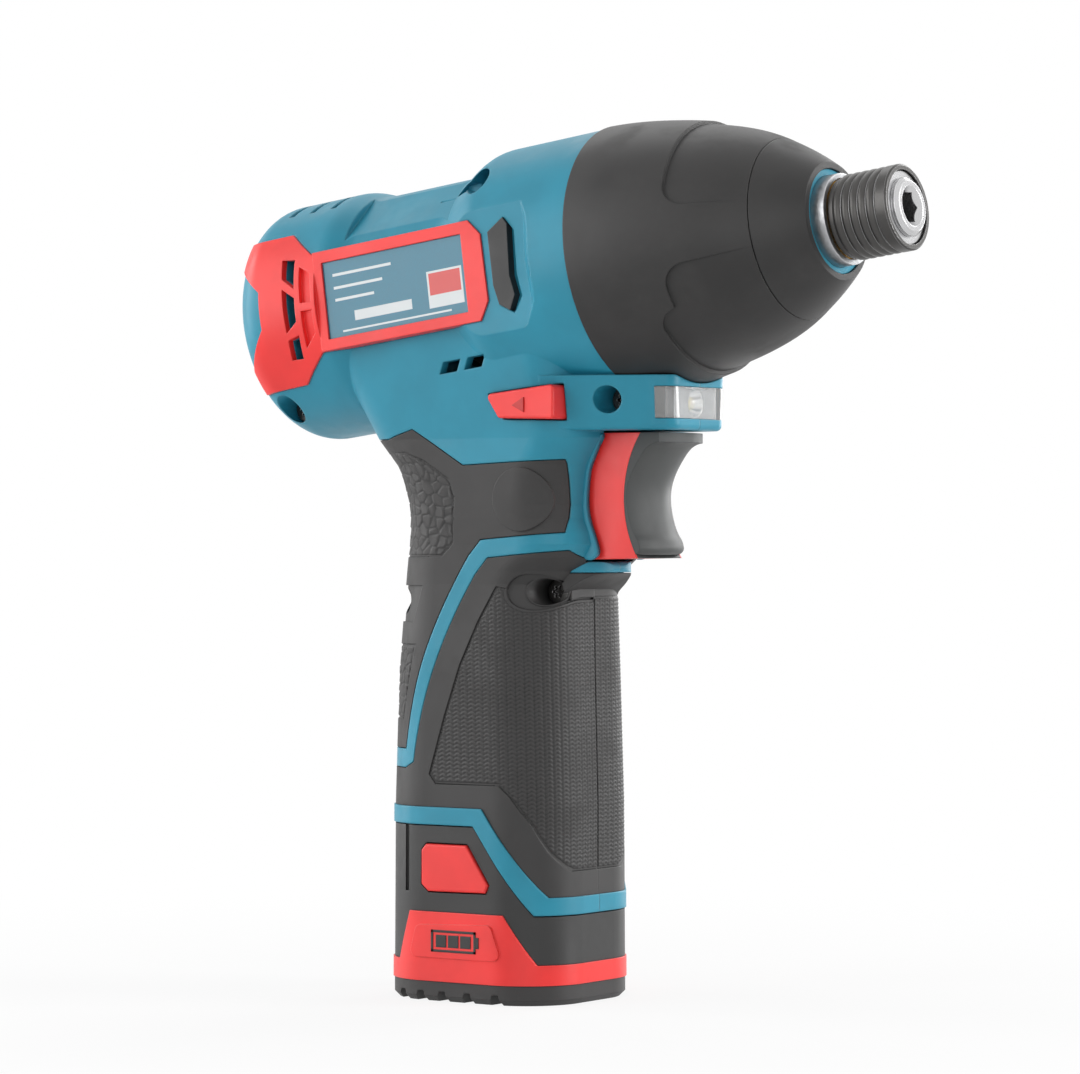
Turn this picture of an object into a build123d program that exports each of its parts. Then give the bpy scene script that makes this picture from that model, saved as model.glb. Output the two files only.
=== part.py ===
from build123d import *
import math
import os
from dataclasses import dataclass

# A 12 V pistol-grip cordless screwdriver with an impact mechanism and a stick battery in its handle.
# It stands on its battery foot: the origin is the middle of the sole, X points to the nose, Y to the left
# and Z up. Stations are millimetres along the barrel axis, from the point BARREL_X, BARREL_Z of the axis.
# Side outlines of the handle are given as X and Z, side outlines of the barrel as station and height
# above the axis.

# Shared clearances
RUN = 0.06
SEAT = 0.1
MOVE_GAP = 0.3
SEAM = 0.2

# Battery cells and the stick that holds them: they set the handle's girth, and longer cells lift all above
# the middle of the grip
CELL_R = 9.1
CELL_LENGTH = 65.0
CELL_NOMINAL = 65.0
LIFT = CELL_LENGTH - CELL_NOMINAL
LIFT_START = 60.0
CELL_GAP = 0.15
STICK_WALL = 0.95
STICK_CLEARANCE = 0.4
GRIP_SKIN = 1.25
GRIP_CORE = 1.25
GRIP_SPARE = 3.3

# Barrel place
BARREL_PITCH = 7.4
BARREL_X = 8.4
BARREL_Z = 164.7 + LIFT

# Barrel shell: rear drum, waist and collar
DRUM_END = -70.0
DRUM_R = 28.0
DRUM_CORNER = 9.0
DRUM_FRONT = -44.0
WAIST_REAR = -35.0
WAIST_R = 26.0
WAIST_FRONT = -12.0
COLLAR_REAR = 2.0
COLLAR_R = 30.5
COLLAR_END = 27.8
SHELL_WALL = 2.4

# Flats of the barrel: the sunk side panel with its bevel, and the slanted facet above it
PANEL_Y = 27.0
PANEL_STEP = 4.0
PANEL_BEVEL = 3.6
FACET_R = 25.0
FACET_TURN = 38.0
FACET_WIDTH = 24.0
FACET_REAR = -38.0
FACET_FRONT = -8.0

# Handle cuts from the sole up: height, then the changes of back, front and width from the middle of the
# grip, and the radius of the corners
HANDLE_CUTS = (
    (0.0, -0.75, 0.75, 1.5, 15.0),
    (45.0, -0.75, 0.75, 0.75, 15.0),
    (75.0 + LIFT, 0.0, 0.0, 0.0, 15.0),
    (95.0 + LIFT, 1.4, -0.3, -1.5, 15.0),
    (104.0 + LIFT, 2.4, 7.4, -1.4, 15.0),
    (112.0 + LIFT, 3.2, 4.6, -0.7, 14.0),
    (120.0 + LIFT, 1.5, 5.0, -0.35, 13.0),
    (128.0 + LIFT, -4.6, 9.0, 0.0, 13.0),
)
PALM_CUTS = 3
FLARE_CUTS = 11
HEAD_Z = HANDLE_CUTS[-1][0]
SADDLE_Z = 161.0 + LIFT
SADDLE_REAR = -44.0
SADDLE_FRONT = 27.0
SADDLE_WIDTH = 51.4
SADDLE_CORNER = 8.0

# Overmould: round boss, textured fields and the dish round the grip screw
BOSS_X = 17.0
BOSS_Z = 114.2 + LIFT
BOSS_R = 7.2
BOSS_PROUD = 0.5
FIELD_DEPTH = 0.3
BACK_PLATE_DEPTH = 0.5
DISH_DEPTH = 0.9
DISH_LONG = 5.6
DISH_HIGH = 4.1
DISH_SHIFT = 1.4

# Chin that carries the light. Its plan: X, half width at the bottom, and how much wider the top is
CHIN_LOW = 129.6 + LIFT
CHIN_HIGH = CHIN_LOW + 12.2
CHIN_FRONT = 52.0
CHIN_NOSE = 10.3
CHIN_PLAN = ((10.0, 20.0, 2.3), (23.6, 20.0, 2.3), (47.0, 12.7, 0.7), (CHIN_FRONT, CHIN_NOSE, 0.5))
CHIN_CORNER = 4.0
CHIN_EDGE = 1.2

# Lip under the trigger
LIP_WIDTH = 23.0
LIP_TIP = 30.6
LIP_TOP = 100.1 + LIFT
LIP_THICK = 2.6
LIP_DROP = 8.1
LIP_HEEL = 22.0
LIP_ROOT = 16.0

# Battery seam, as X and Z: high at the back, a slope, low at the front
SEAM_REAR_Z = 40.2
SEAM_FRONT_Z = 20.4
SEAM_KNEE_X = 4.8
SEAM_TOE_X = 19.3
SEAM_LEAN = 0.55
BAND_HEIGHT = 4.0
BAND_BEAD = 0.35
FOOT_HEIGHT = 4.6
SKIRT_HEIGHT = 9.2
SKIRT_TOP = 20.4
SKIRT_FLOOR = 2.0
SKIRT_PROUD = 0.35
SKIRT_SKIN = 1.3
SKIRT_PANEL_PROUD = 0.55
SKIRT_PANEL_ROUND = 1.6
FOOT_CHAMFER = 1.2
FOOT_GROOVES = (-15.6, -9.8, -3.8, 3.2, 10.9)
FOOT_GROOVE_WIDTH = 3.0
FOOT_GROOVE_DEPTH = 2.3
FOOT_GROOVE_SLANT = 0.7

# Battery head and contacts
HEAD_DEPTH = 32.0
HEAD_WIDTH = 28.0
HEAD_CORNER = 9.0
HEAD_RISE = 13.45
CONTACTS_X = (-8.0, 0.0, 8.0)
BLADE_THICK = 0.8
BLADE_WIDTH = 6.0
BLADE_LENGTH = 9.0
CONTACT_SLOT = 2.4
CONTACT_LEAF = 0.5
CONTACT_FLOOR = 1.5
BLOCK_GAP = 0.8
BLOCK_THICK = 4.8
BLOCK_DEPTH = 25.0
BLOCK_WIDTH = 20.0

# Release buttons of the battery
LATCH_PROUD = 0.5
LATCH_THICK = 2.2
LATCH_TRAVEL = 1.6
LATCH_EDGE = 0.45
LATCH_Z = 30.0
GUIDE_SLOT_X = -14.2
GUIDE_SLOT_WIDTH = 1.3
GUIDE_SLOT_LOW = 24.8
GUIDE_SLOT_DEPTH = 1.6

# Trigger and switch. The finger pad is turned about an upright axis: its profile is given as radius and
# height above the trigger's low end
TRIGGER_WIDTH = 18.4
TRIGGER_GAP = 0.4
TRIGGER_LOW = LIP_TOP + 0.4
TRIGGER_HIGH = CHIN_LOW - 0.5
TRIGGER_BACK = 22.0
TRIGGER_TRAVEL = 6.0
BORDER_HIGH_X = 42.0
BORDER_MIDDLE_X = 37.6
BORDER_LOW_X = 41.2
BORDER_STEP = 0.4
PAD_AXIS_X = 27.0
PAD_TOP_R = 21.9
PAD_LEDGE = 2.2
PAD_FACE = ((17.6, 23.2), (14.5, 14.6), (16.6, 5.1))
PAD_TIP = (17.4, 3.1)
PAD_TOE = (15.9, 1.2)
PLUNGER_R = 2.5
PLUNGER_Z = 115.0 + LIFT
PLUNGER_TIP = 8.0
PLUNGER_SPARE = 1.0
SWITCH_FRONT = 13.0
SWITCH_BACK = -12.0
SWITCH_LOW = 104.0 + LIFT
SWITCH_HIGH = SWITCH_LOW + 22.0
SWITCH_WIDTH = 18.0
TRIGGER_WIRE_R = 0.35
TRIGGER_SPRING_TURNS = 4
RIB_THICK = 2.0
RIB_INSET = 4.0
RIB_SHORT = 3.0
BLOCK_RIB = 8.0
BLOCK_RIB_SHORT = 1.0

# Direction selector, a bar across the housing
SELECTOR_PROUD = 2.0
SELECTOR_ROUND = 0.9
SELECTOR_EDGE = 0.5

# Rubber boot, hammer case and nose. The boot's front is lowered above and below a raised finger on each
# side: middle of each lowered field as an angle from the top, its spread and the station where it starts
BOOT_START = 27.9
BOOT_LIP = 0.4
BOOT_RADII = (
    (BOOT_START, COLLAR_R + BOOT_LIP), (36.0, 30.3), (44.0, 29.1), (54.5, 26.8), (62.5, 24.0), (69.3, 20.4),
)
NOSE_RADII = ((69.5, 20.25), (74.0, 17.5), (77.0, 15.4), (79.8, 13.2))
BOOT_THICK = 2.0
RELIEF_DEPTH = 0.9
RELIEF_START = 50.0
RELIEF_ROUND = 5.0
RELIEF_FIELDS = ((0.0, 152.0, 51.5), (180.0, 152.0, RELIEF_START), (180.0, 112.0, 45.5))
CASE_SEAT_R = COLLAR_R - 2.6
CASE_REAR = 17.6
CASE_BORE_R = 24.5
CASE_BORE_END = 43.0
CASE_FRONT_WALL = 61.5
CASE_THROAT_R = 19.6
NOSE_TUBE_END = 82.5
SEAL_R = 11.65
SEAL_REAR = 75.6
SEAL_FRONT = 79.2

# Motor
MOTOR_R = 17.5
MOTOR_WALL = 1.7
MOTOR_REAR = -58.0
MOTOR_FRONT = -16.0
MOTOR_HOLE_GAP = 1.4
MOTOR_BOSS_WALL = 1.5
BEARING_SINK = 0.5
END_BELL_THICK = 4.0
BELL_RISE = 2.0
SHAFT_R = 1.6
SHAFT_REAR = -63.6
SHAFT_FRONT = 17.8
BEARING_R = 5.0
BEARING_WIDTH = 3.0
MAGNET_THICK = 2.5
MAGNET_ARC = 130.0
MAGNET_OVERHANG = 2.0
AIR_GAP = 0.6
ARMATURE_REAR = -48.0
ARMATURE_FRONT = -26.0
ARMATURE_POLES = 5
POLE_GAP = 2.0
POLE_ROOT = 0.65
WINDING_SHARE = 0.8
WINDING_OVERHANG = 3.5
COMMUTATOR_R = 5.0
COMMUTATOR_REAR = -57.0
COMMUTATOR_BARS = 10
COMMUTATOR_CUT = 0.4
BRUSH_LENGTH = 6.0
BRUSH_WIDTH = 4.0
BRUSH_FRONT = -53.5
FAN_R = 16.5
FAN_REAR = -12.5
FAN_FRONT = -5.0
FAN_BLADES = 9
FAN_HUB_R = 4.0
FAN_DISC = 1.5
FAN_BLADE_THICK = 1.0
FAN_BLADE_DROP = 0.6
MOTOR_RIB = 2.4

# Planetary stage
MODULE = 0.7
SUN_TEETH = 9
PLANET_TEETH = 18
PLANETS = 3
PRESSURE_ANGLE = 20.0
ADDENDUM = 0.85
DEDENDUM = 1.25
BACKLASH = 0.16
GEAR_REAR = 9.5
GEAR_FRONT = 17.5
GEAR_SPARE = 0.5
PIN_R = 2.0
RING_RIM = 4.6
PLATE_REAR = 6.0
PLATE_WALL = 2.6
PLATE_FRONT = 23.0
PLATE_HOLE_R = 6.0
CARRIER_REAR = 18.1
CARRIER_FRONT = 22.4
CARRIER_R = 15.5

# Spindle, hammer and anvil
SPINDLE_R = 6.0
PILOT_R = 4.0
PILOT_END = 60.5
PILOT_SPARE = 0.5
HAMMER_R = 18.5
HAMMER_REAR = 33.0
HAMMER_FRONT = 54.0
SPRING_SEAT = 42.0
SPRING_SEAT_IN = 8.6
SPRING_SEAT_OUT = 14.6
HAMMER_SPRING_R = 11.6
HAMMER_WIRE_R = 1.2
HAMMER_SPRING_TURNS = 4
LUG_LENGTH = 5.5
LUG_IN = 10.0
LUG_ARC = 44.0
LUG_ROOT = 1.0
CAM_BALL_R = 2.2
CAM_BALL_STATION = 47.5
CAM_GROOVE = 1.3
WING_GAP = 0.5
WING_R = 17.2
WING_WIDTH = 9.0
WING_THICK = 6.0
ANVIL_R = 7.4
ANVIL_BODY_R = 9.2
BUSH_WALL = 1.6
BUSH_REAR = 62.2
BUSH_FRONT = 81.0
NOSE_TUBE_WALL = 1.2
TIP_R = 6.5
TIP_STATION = 98.9
TIP_CHAMFER = 0.9
SHOULDER = 82.8
HEX_FLATS = 6.45
HEX_BOTTOM = 74.0
HEX_LEAD = 0.8
BIT_BALL_R = 1.4
BIT_BALL_STATION = 88.3
BIT_BALL_SINK = 1.95

# Quick-release sleeve. Its inner and outer radii stand out from the anvil's tip
SLEEVE_RELIEF = 0.8
SLEEVE_CHAMBER = 1.8
SLEEVE_THICK = 3.05
SLEEVE_REAR = 83.0
SLEEVE_FRONT = 97.7
SLEEVE_RIBS = 5
SLEEVE_RIB_DEPTH = 0.6
SLEEVE_RIB_START = 84.0
SLEEVE_RIB_END = 94.4
SLEEVE_LAND_REAR = 87.2
SLEEVE_LAND_FRONT = 89.4
SLEEVE_EDGE = 0.4
CLIP_REAR = 96.2
CLIP_THICK = 0.9
CLIP_RISE = 1.6
CLIP_GROOVE = 0.4
SLEEVE_WIRE_R = 0.35
SLEEVE_SPRING_TURNS = 3

# Side trim, rating plate and lozenge insert, as station and height above the axis
TRIM_THICK = 1.2
TRIM_PROUD = 0.5
BLIND_CELL_DEPTH = 1.2
FRAME_PROUD = 0.5
FRAME_BED = 1.5
PLATE_LEFT = -41.5
PLATE_RIGHT = -1.7
PLATE_LOW = -8.3
PLATE_HIGH = 9.5
PLATE_THICK = 0.8
INSERT_PROUD = 0.6
INSERT_DEPTH = 1.6
VENT_SLOT_WIDTH = 2.6
VENT_SLOT_LENGTH = 5.0
VENT_INSIDE = 15.0
VENT_STARTS = (-14.6, -7.6)
VENT_ROWS = ((19.6, 1.2), (-20.4, 1.6))
TOP_SLOTS = (-59.2, -53.0, -46.8)
TOP_SLOT_WIDTH = 1.6
TOP_SLOT_REACH = 14.5
TOP_SLOT_LOW = 21.5

# Clamshell screws: X, Z and the depth from the middle plane at which the head sits. The first two are given
# as station and height above the axis
SCREW_R = 1.45
SCREW_HEAD_R = 2.7
SCREW_HEAD = 2.0
SCREW_HOLE_R = SCREW_HEAD_R + 0.4
SCREW_BOSS_R = SCREW_HOLE_R + 1.1
SCREW_END = 10.0
RECESS_LOBES = 6
RECESS_R = 1.0
RECESS_REACH = 1.15
RECESS_LOBE_R = 0.36
RECESS_DEPTH = 1.2
COLLAR_SCREW = (0.1, 21.7, 11.0)
REAR_SCREW = (-62.0, -21.2, 10.0)
CHIN_SCREW = (37.8, 136.4 + LIFT, 8.0)
GRIP_SCREW = (19.6, 93.3 + LIFT, 7.0)
BACK_SCREW = (-18.6, 91.0 + LIFT, 7.0)

# Light
LENS_LEFT = 48.0
LENS_LOW = CHIN_LOW + 2.6
LENS_HIGH = CHIN_LOW + 9.6
LENS_THICK = 2.2
LENS_ROOF = 0.9
LIGHT_BACK = 43.6
LED_R = 1.6
LED_BOARD_THICK = 1.6

# Worked-out sizes
SIDE = 120.0
PACK_PITCH = 2 * CELL_R + CELL_GAP
PACK_RISE = PACK_PITCH * math.sqrt(3) / 2
STICK_WIDTH = PACK_RISE + 2 * (CELL_R + STICK_WALL)
STICK_CORNER = CELL_R + STICK_WALL
STICK_DEPTH = PACK_PITCH + 2 * (CELL_R + STICK_WALL)
HANDLE_WALL = GRIP_SKIN + GRIP_CORE
GRIP_WIDTH = STICK_WIDTH + 2 * (STICK_CLEARANCE + HANDLE_WALL)
GRIP_DEPTH = STICK_DEPTH + 2 * (STICK_CLEARANCE + HANDLE_WALL) + GRIP_SPARE
GRIP_BACK = -GRIP_DEPTH / 2
GRIP_FACE = GRIP_DEPTH / 2
RING_TEETH = SUN_TEETH + 2 * PLANET_TEETH
ORBIT_R = MODULE * (SUN_TEETH + PLANET_TEETH) / 2
RING_R = MODULE * RING_TEETH / 2 + RING_RIM
PLATE_R = CASE_BORE_R - SEAT
BUSH_R = ANVIL_R + BUSH_WALL
NOSE_TUBE_R = BUSH_R + NOSE_TUBE_WALL
SLEEVE_R = TIP_R + SLEEVE_THICK
SLEEVE_RELIEF_R = TIP_R + SLEEVE_RELIEF
SLEEVE_CHAMBER_R = TIP_R + SLEEVE_CHAMBER
CELL_FLOOR = FOOT_HEIGHT + SKIRT_FLOOR
STICK_TOP = CELL_FLOOR + CELL_LENGTH + STICK_WALL
HEAD_TOP = STICK_TOP + HEAD_RISE
BLOCK_LOW = HEAD_TOP + BLOCK_GAP
BLOCK_HIGH = BLOCK_LOW + BLOCK_THICK
BARREL = Location((BARREL_X, 0, BARREL_Z), (0, -BARREL_PITCH, 0))
LOW = (Align.CENTER, Align.CENTER, Align.MIN)


@dataclass(frozen=True)
class Section:
    """One level cut of the handle: a rounded rectangle from its back to its front."""

    height: float
    back: float
    front: float
    width: float
    corner: float

    def face(self, grow=0.0):
        """The cut as a face, grown outwards all round by a distance."""
        depth = self.front - self.back + 2 * grow
        outline = RectangleRounded(depth, self.width + 2 * grow, self.corner + grow)
        return Pos((self.back + self.front) / 2, 0, self.height) * outline


HANDLE = [
    Section(height, GRIP_BACK + back, GRIP_FACE + front, GRIP_WIDTH + width, corner)
    for height, back, front, width, corner in HANDLE_CUTS
]
SADDLE_TOP = Section(SADDLE_Z, SADDLE_REAR, SADDLE_FRONT, SADDLE_WIDTH, SADDLE_CORNER)


def rod(start, end, radius, bore=0.0):
    """A round bar or tube along the barrel axis, between two stations."""
    bar = Cylinder(radius, end - start, align=LOW)
    if bore:
        bar -= Cylinder(bore, end - start, align=LOW)
    return Pos(start, 0, 0) * Rot(0, 90, 0) * bar


def turned(*edges):
    """A body turned about the barrel axis from a closed outline of station and radius."""
    outline = Curve() + list(edges)
    return revolve(make_face(outline), Axis.X)


def turned_points(*points):
    """A body turned about the barrel axis from straight runs of station and radius."""
    return turned(Polyline(*points, close=True))


def side_face(outline, corner=0.0):
    """The face inside a side outline, which is a list of points or a closed line, with rounded corners."""
    if isinstance(outline, list):
        outline = Polyline(*outline, close=True)
    face = make_face(outline).face()
    if corner:
        face = fillet(face.vertices(), corner).face()
    return -face if face.normal_at().Z < 0 else face


def prism(outline, low, high, corner=0.0):
    """A side outline carried across the tool, between two values of Y."""
    return extrude(Plane.XZ.offset(-high) * side_face(outline, corner), high - low, dir=(0, -1, 0))


def wide_prism(outline, grow=0.0, corner=0.0):
    """A side outline carried across the whole tool, grown outwards in the side view."""
    face = side_face(outline, corner)
    if grow:
        face = offset(face, grow)
    return extrude(Plane.XZ.offset(-SIDE) * face, 2 * SIDE, dir=(0, -1, 0))


def block(x, y, z):
    """A box between two values on each axis."""
    size = (x[1] - x[0], y[1] - y[0], z[1] - z[0])
    return Pos((x[0] + x[1]) / 2, (y[0] + y[1]) / 2, (z[0] + z[1]) / 2) * Box(*size)


def cross_rod(x, z, radius, low, high):
    """A round bar across the tool at a place of the side view, between two values of Y."""
    return Pos(x, high, z) * Rot(90, 0, 0) * Cylinder(radius, high - low, align=LOW)


def ring_of(shape, count, start=0.0):
    """Copies of a shape, evenly turned about the barrel axis."""
    return [Rot(start + 360 * i / count, 0, 0) * shape for i in range(count)]


def biarc(p, p_way, q, q_way):
    """Two arcs that leave p along p_way and reach q along q_way, and meet without a corner."""
    chord = q - p
    ways = p_way + q_way
    a = 2 * (1 - p_way.dot(q_way))
    b = chord.dot(ways)
    reach = (-b + math.sqrt(b * b + a * chord.dot(chord))) / a
    middle = (p + p_way * reach + q - q_way * reach) * 0.5
    middle_way = (q - q_way * reach - middle).normalized()
    return [TangentArc(p, middle, tangent=p_way), TangentArc(middle, q, tangent=middle_way)]


def coil(mean_r, wire_r, start, end, turns):
    """A round-wire spring along X between two faces: biarcs of a quarter turn follow its helix."""
    steps = 4 * turns
    rise = (end - start - 2 * wire_r) / steps
    quarter = math.pi / 2

    def point(i):
        turn = quarter * i
        return Vector(start + wire_r + rise * i, mean_r * math.cos(turn), mean_r * math.sin(turn))

    def way(i):
        turn = Vector(0, -mean_r * math.sin(quarter * i), mean_r * math.cos(quarter * i)) * quarter
        return (turn + Vector(rise, 0, 0)).normalized()

    edges = []
    for i in range(steps):
        edges += biarc(point(i), way(i), point(i + 1), way(i + 1))
    print(f"spring of {turns} turns: gap between turns {4 * rise - 2 * wire_r:.2f} mm")
    start_plane = Plane(origin=point(0), z_dir=way(0))
    return sweep(start_plane * Circle(wire_r), path=Wire(edges))


def gear_face(teeth, tip, root, thin, phase):
    """A spur gear's face in the plane across the axis: involute flanks between a root and a tip radius.

    thin is taken off each tooth's thickness at the pitch circle, phase turns the first tooth, in degrees.
    """
    pitch_r = MODULE * teeth / 2
    base_r = pitch_r * math.cos(math.radians(PRESSURE_ANGLE))

    def involute(angle):
        return math.tan(angle) - angle

    def half_tooth(radius):
        if radius <= base_r:
            rise = 0.0
        else:
            rise = involute(math.acos(base_r / radius))
        middle = math.pi / (2 * teeth) - thin / (2 * pitch_r)
        return middle + involute(math.radians(PRESSURE_ANGLE)) - rise

    radii = [root, max(base_r, (root + pitch_r) / 2), (pitch_r + tip) / 2, tip]
    flank = [(radius, half_tooth(radius)) for radius in radii]
    points = []
    for i in range(teeth):
        middle = math.radians(phase) + math.tau * i / teeth
        turns = [(radius, middle - half) for radius, half in flank]
        turns += [(radius, middle + half) for radius, half in reversed(flank)]
        points += [(radius * math.cos(turn), radius * math.sin(turn)) for radius, turn in turns]
    return make_face(Polyline(*points, close=True))


def along_barrel(face, start, end):
    """A face across the axis carried along the barrel, its x axis upwards and its y axis to the right."""
    plane = Plane(origin=(start, 0, 0), x_dir=(0, 0, 1), z_dir=(1, 0, 0))
    return extrude(plane * face, end - start, dir=(1, 0, 0))


def profile_edges(radii, inset):
    """A smooth line through a row of stations and radii, moved towards the axis."""
    return Spline(*[(station, radius - inset) for station, radius in radii])


def steady_curve(heights, values, height):
    """The value at a height on a smooth curve through the named ones, level where they turn."""
    runs = [(values[i + 1] - values[i]) / (heights[i + 1] - heights[i]) for i in range(len(values) - 1)]
    slopes = [2 * p * q / (p + q) if p * q > 0 else 0.0 for p, q in zip(runs, runs[1:])]
    slopes = [runs[0]] + slopes + [runs[-1]]
    low = max(i for i in range(len(runs)) if i == 0 or heights[i] < height)
    step = heights[low + 1] - heights[low]
    share = (height - heights[low]) / step
    rest = 1 - share
    start = rest * rest * ((1 + 2 * share) * values[low] + share * step * slopes[low])
    end = share * share * ((1 + 2 * rest) * values[low + 1] - rest * step * slopes[low + 1])
    return start + end


def handle_section(height):
    """The handle's cut at a height, on smooth curves through the named cuts."""
    heights = [cut.height for cut in HANDLE]
    rows = [[cut.back, cut.front, cut.width, cut.corner] for cut in HANDLE]
    return Section(height, *(steady_curve(heights, values, height) for values in zip(*rows)))


def handle_form(grow=0.0):
    """The handle from the sole up to its head, with close cuts in the flare, grown outwards by a distance."""
    palm = [cut.height for cut in HANDLE[:PALM_CUTS]]
    flare = HANDLE[PALM_CUTS].height
    heights = palm + [flare + (HEAD_Z - flare) * i / FLARE_CUTS for i in range(FLARE_CUTS + 1)]
    return loft([handle_section(height).face(grow) for height in heights], ruled=True)


def saddle_form(grow=0.0):
    """The flare between the handle's head and the barrel's flanks."""
    return loft([HANDLE[-1].face(grow), SADDLE_TOP.face(grow)], ruled=True)


def drum_form(grow=0.0):
    """The barrel shell: rear drum with a rounded end, waist, and S-curve up to the collar."""
    drum_r = DRUM_R + grow
    waist_r = WAIST_R + grow
    collar_r = COLLAR_R + grow
    corner = DRUM_CORNER
    end = DRUM_END - grow
    return turned(
        Line((end, 0), (end, drum_r - corner)),
        TangentArc((end, drum_r - corner), (end + corner, drum_r), tangent=(0, 1)),
        Line((end + corner, drum_r), (DRUM_FRONT, drum_r)),
        Spline((DRUM_FRONT, drum_r), (WAIST_REAR, waist_r), tangents=((1, 0), (1, 0))),
        Line((WAIST_REAR, waist_r), (WAIST_FRONT, waist_r)),
        Spline((WAIST_FRONT, waist_r), (COLLAR_REAR, collar_r), tangents=((1, 0), (1, 0))),
        Line((COLLAR_REAR, collar_r), (COLLAR_END, collar_r)),
        Line((COLLAR_END, collar_r), (COLLAR_END, 0)),
        Line((COLLAR_END, 0), (end, 0)),
    )


def boot_form(grow=0.0):
    """The outside of the rubber boot and its nose, as one body from the collar to the mouth."""
    first, last = BOOT_RADII[0], NOSE_RADII[-1]
    radii = BOOT_RADII + NOSE_RADII[1:]
    return turned(
        profile_edges(radii, -grow),
        Line((last[0], last[1] + grow), (last[0], 0)),
        Line((last[0], 0), (first[0], 0)),
        Line((first[0], 0), (first[0], first[1] + grow)),
    )


def seam_line(rise):
    """The seam between housing and battery in the side view, moved up by a rise."""
    lean = rise * SEAM_LEAN
    return [
        (-SIDE, SEAM_REAR_Z + rise),
        (SEAM_KNEE_X + lean, SEAM_REAR_Z + rise),
        (SEAM_TOE_X + lean, SEAM_FRONT_Z + rise),
        (SIDE, SEAM_FRONT_Z + rise),
    ]


def lifted(*points):
    """Points of a side outline, those above the middle of the grip raised with a longer cell."""
    return [(x, z + LIFT if z > LIFT_START else z) for x, z in points]


def above_seam(rise):
    """Everything above the battery seam, moved up by a rise."""
    return wide_prism(seam_line(rise) + [(SIDE, 3 * SIDE), (-SIDE, 3 * SIDE)])


def below_seam(drop):
    """Everything below the battery seam, moved down by a drop."""
    return wide_prism(seam_line(-drop) + [(SIDE, -SIDE), (-SIDE, -SIDE)])


STRIPE_REAR = lifted((2.5, 101.6), (-9.4, 79.3), (-15.2, 57.4))
STRIPE_FRONT = lifted((4.4, 97.1), (-6.4, 76.4), (-12.3, 54.2))
HOOK = (-15.2, 52.8)


def rear_grip_outline():
    """The back overmould: side panel by the trigger, tip under the drum, edge along the teal stripe."""
    hook = (-SIDE, STRIPE_REAR[-1][1])
    high = lifted(
        (-SIDE, 127.6), (-20.0, 128.0), (-12.5, 130.2), (1.4, 121.9),
        (26.5, 123.0), (26.0, 106.8), (5.9, 105.2),
    )
    runs = Polyline(STRIPE_REAR[-1], hook, *high, STRIPE_REAR[0])
    return Curve() + [runs, ThreePointArc(*STRIPE_REAR)]


def front_grip_outline():
    """The palm overmould: from the stripe and the trigger lip down to the bottom band."""
    band = seam_line(BAND_HEIGHT)
    low = [STRIPE_FRONT[-1], HOOK, (-SIDE, HOOK[1])]
    front = lifted((SIDE, 96.6), (31.0, 97.2), (29.0, 99.6), (26.6, 102.6), (7.8, 100.9))
    return Curve() + [ThreePointArc(*STRIPE_FRONT), Polyline(*low, *band, *front, STRIPE_FRONT[0])]


def palm_field_outline():
    """The textured field of the palm overmould, which runs on across the front."""
    return lifted(
        (10.1, 94.6), (5.2, 86.5), (0.5, 76.8), (-3.7, 65.0), (-7.8, 51.7), (-5.9, 49.4), (11.5, 49.5),
        (14.0, 47.2), (18.3, 41.1), (21.4, 34.4), (24.0, 30.1), (SIDE, 30.1), (SIDE, 92.0), (24.5, 92.0),
    )


def back_fields():
    """The two textured fields of the back overmould, which run on across the back."""
    upper = lifted(
        (-SIDE, 125.1), (-14.9, 125.1), (-9.6, 123.3), (-2.7, 119.1),
        (-1.0, 114.8), (-1.8, 104.1), (-5.0, 101.1), (-SIDE, 100.3),
    )
    lower = lifted((-SIDE, 81.2), (-12.4, 81.2), (-16.4, 64.0), (-SIDE, 62.0))
    return [upper, lower]


def back_plate_outline():
    """The sunk plate between the back's fields, around the back screw."""
    return lifted((-SIDE, 94.6), (-10.6, 94.6), (-13.4, 86.2), (-SIDE, 86.2))


def trim_outline():
    """The red side trim: plate frame with cut corners, and two wings round the drum's rear corner."""
    frame = [(-45.5, 12.2), (0.5, 12.2), (3.6, 8.6), (3.9, -6.6), (1.4, -10.8), (-44.6, -10.8)]
    low = [(-52.7, -17.0), (-66.0, -17.4), (-66.6, -12.0), (-60.0, -3.2)]
    return frame + low + [(-60.2, 5.6), (-66.4, 11.6), (-66.0, 18.2), (-53.1, 18.3)]


def frame_outline():
    """The flat part of the trim that carries the rating plate."""
    return [(-43.8, 12.2), (0.5, 12.2), (3.6, 8.6), (3.9, -6.6), (1.4, -10.8), (-43.8, -10.8)]


def insert_outline():
    """The upright lozenge beside the collar."""
    right = [(10.2, 11.2), (11.2, 9.6), (10.5, -1.9), (11.4, -6.4), (9.7, -9.7)]
    return right + [(7.0, -8.0), (5.9, -3.5), (5.8, 8.6)]


def insert_room_outline():
    """The pocket of the lozenge, which leaves a dark groove in front of it."""
    right = [(10.2, 11.3), (12.6, 8.0), (12.2, -1.9), (13.0, -7.0), (10.6, -10.4)]
    return right + [(6.9, -8.1), (5.8, -3.5), (5.7, 8.6)]


def panel_outline():
    """The flat let into the collar around the lozenge."""
    right = [(15.1, 15.6), (15.7, 10.5), (14.7, 1.3), (15.5, -8.6), (13.7, -13.3), (9.0, -17.0)]
    return [(-9.0, 16.8)] + right + [(-9.0, -17.0)]


def latch_outline():
    """The battery release button in the side view."""
    return [(-9.5, 34.4), (-8.2, 35.8), (3.0, 35.8), (9.0, 27.0), (8.2, 25.2), (-7.6, 25.0), (-9.5, 26.6)]


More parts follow.
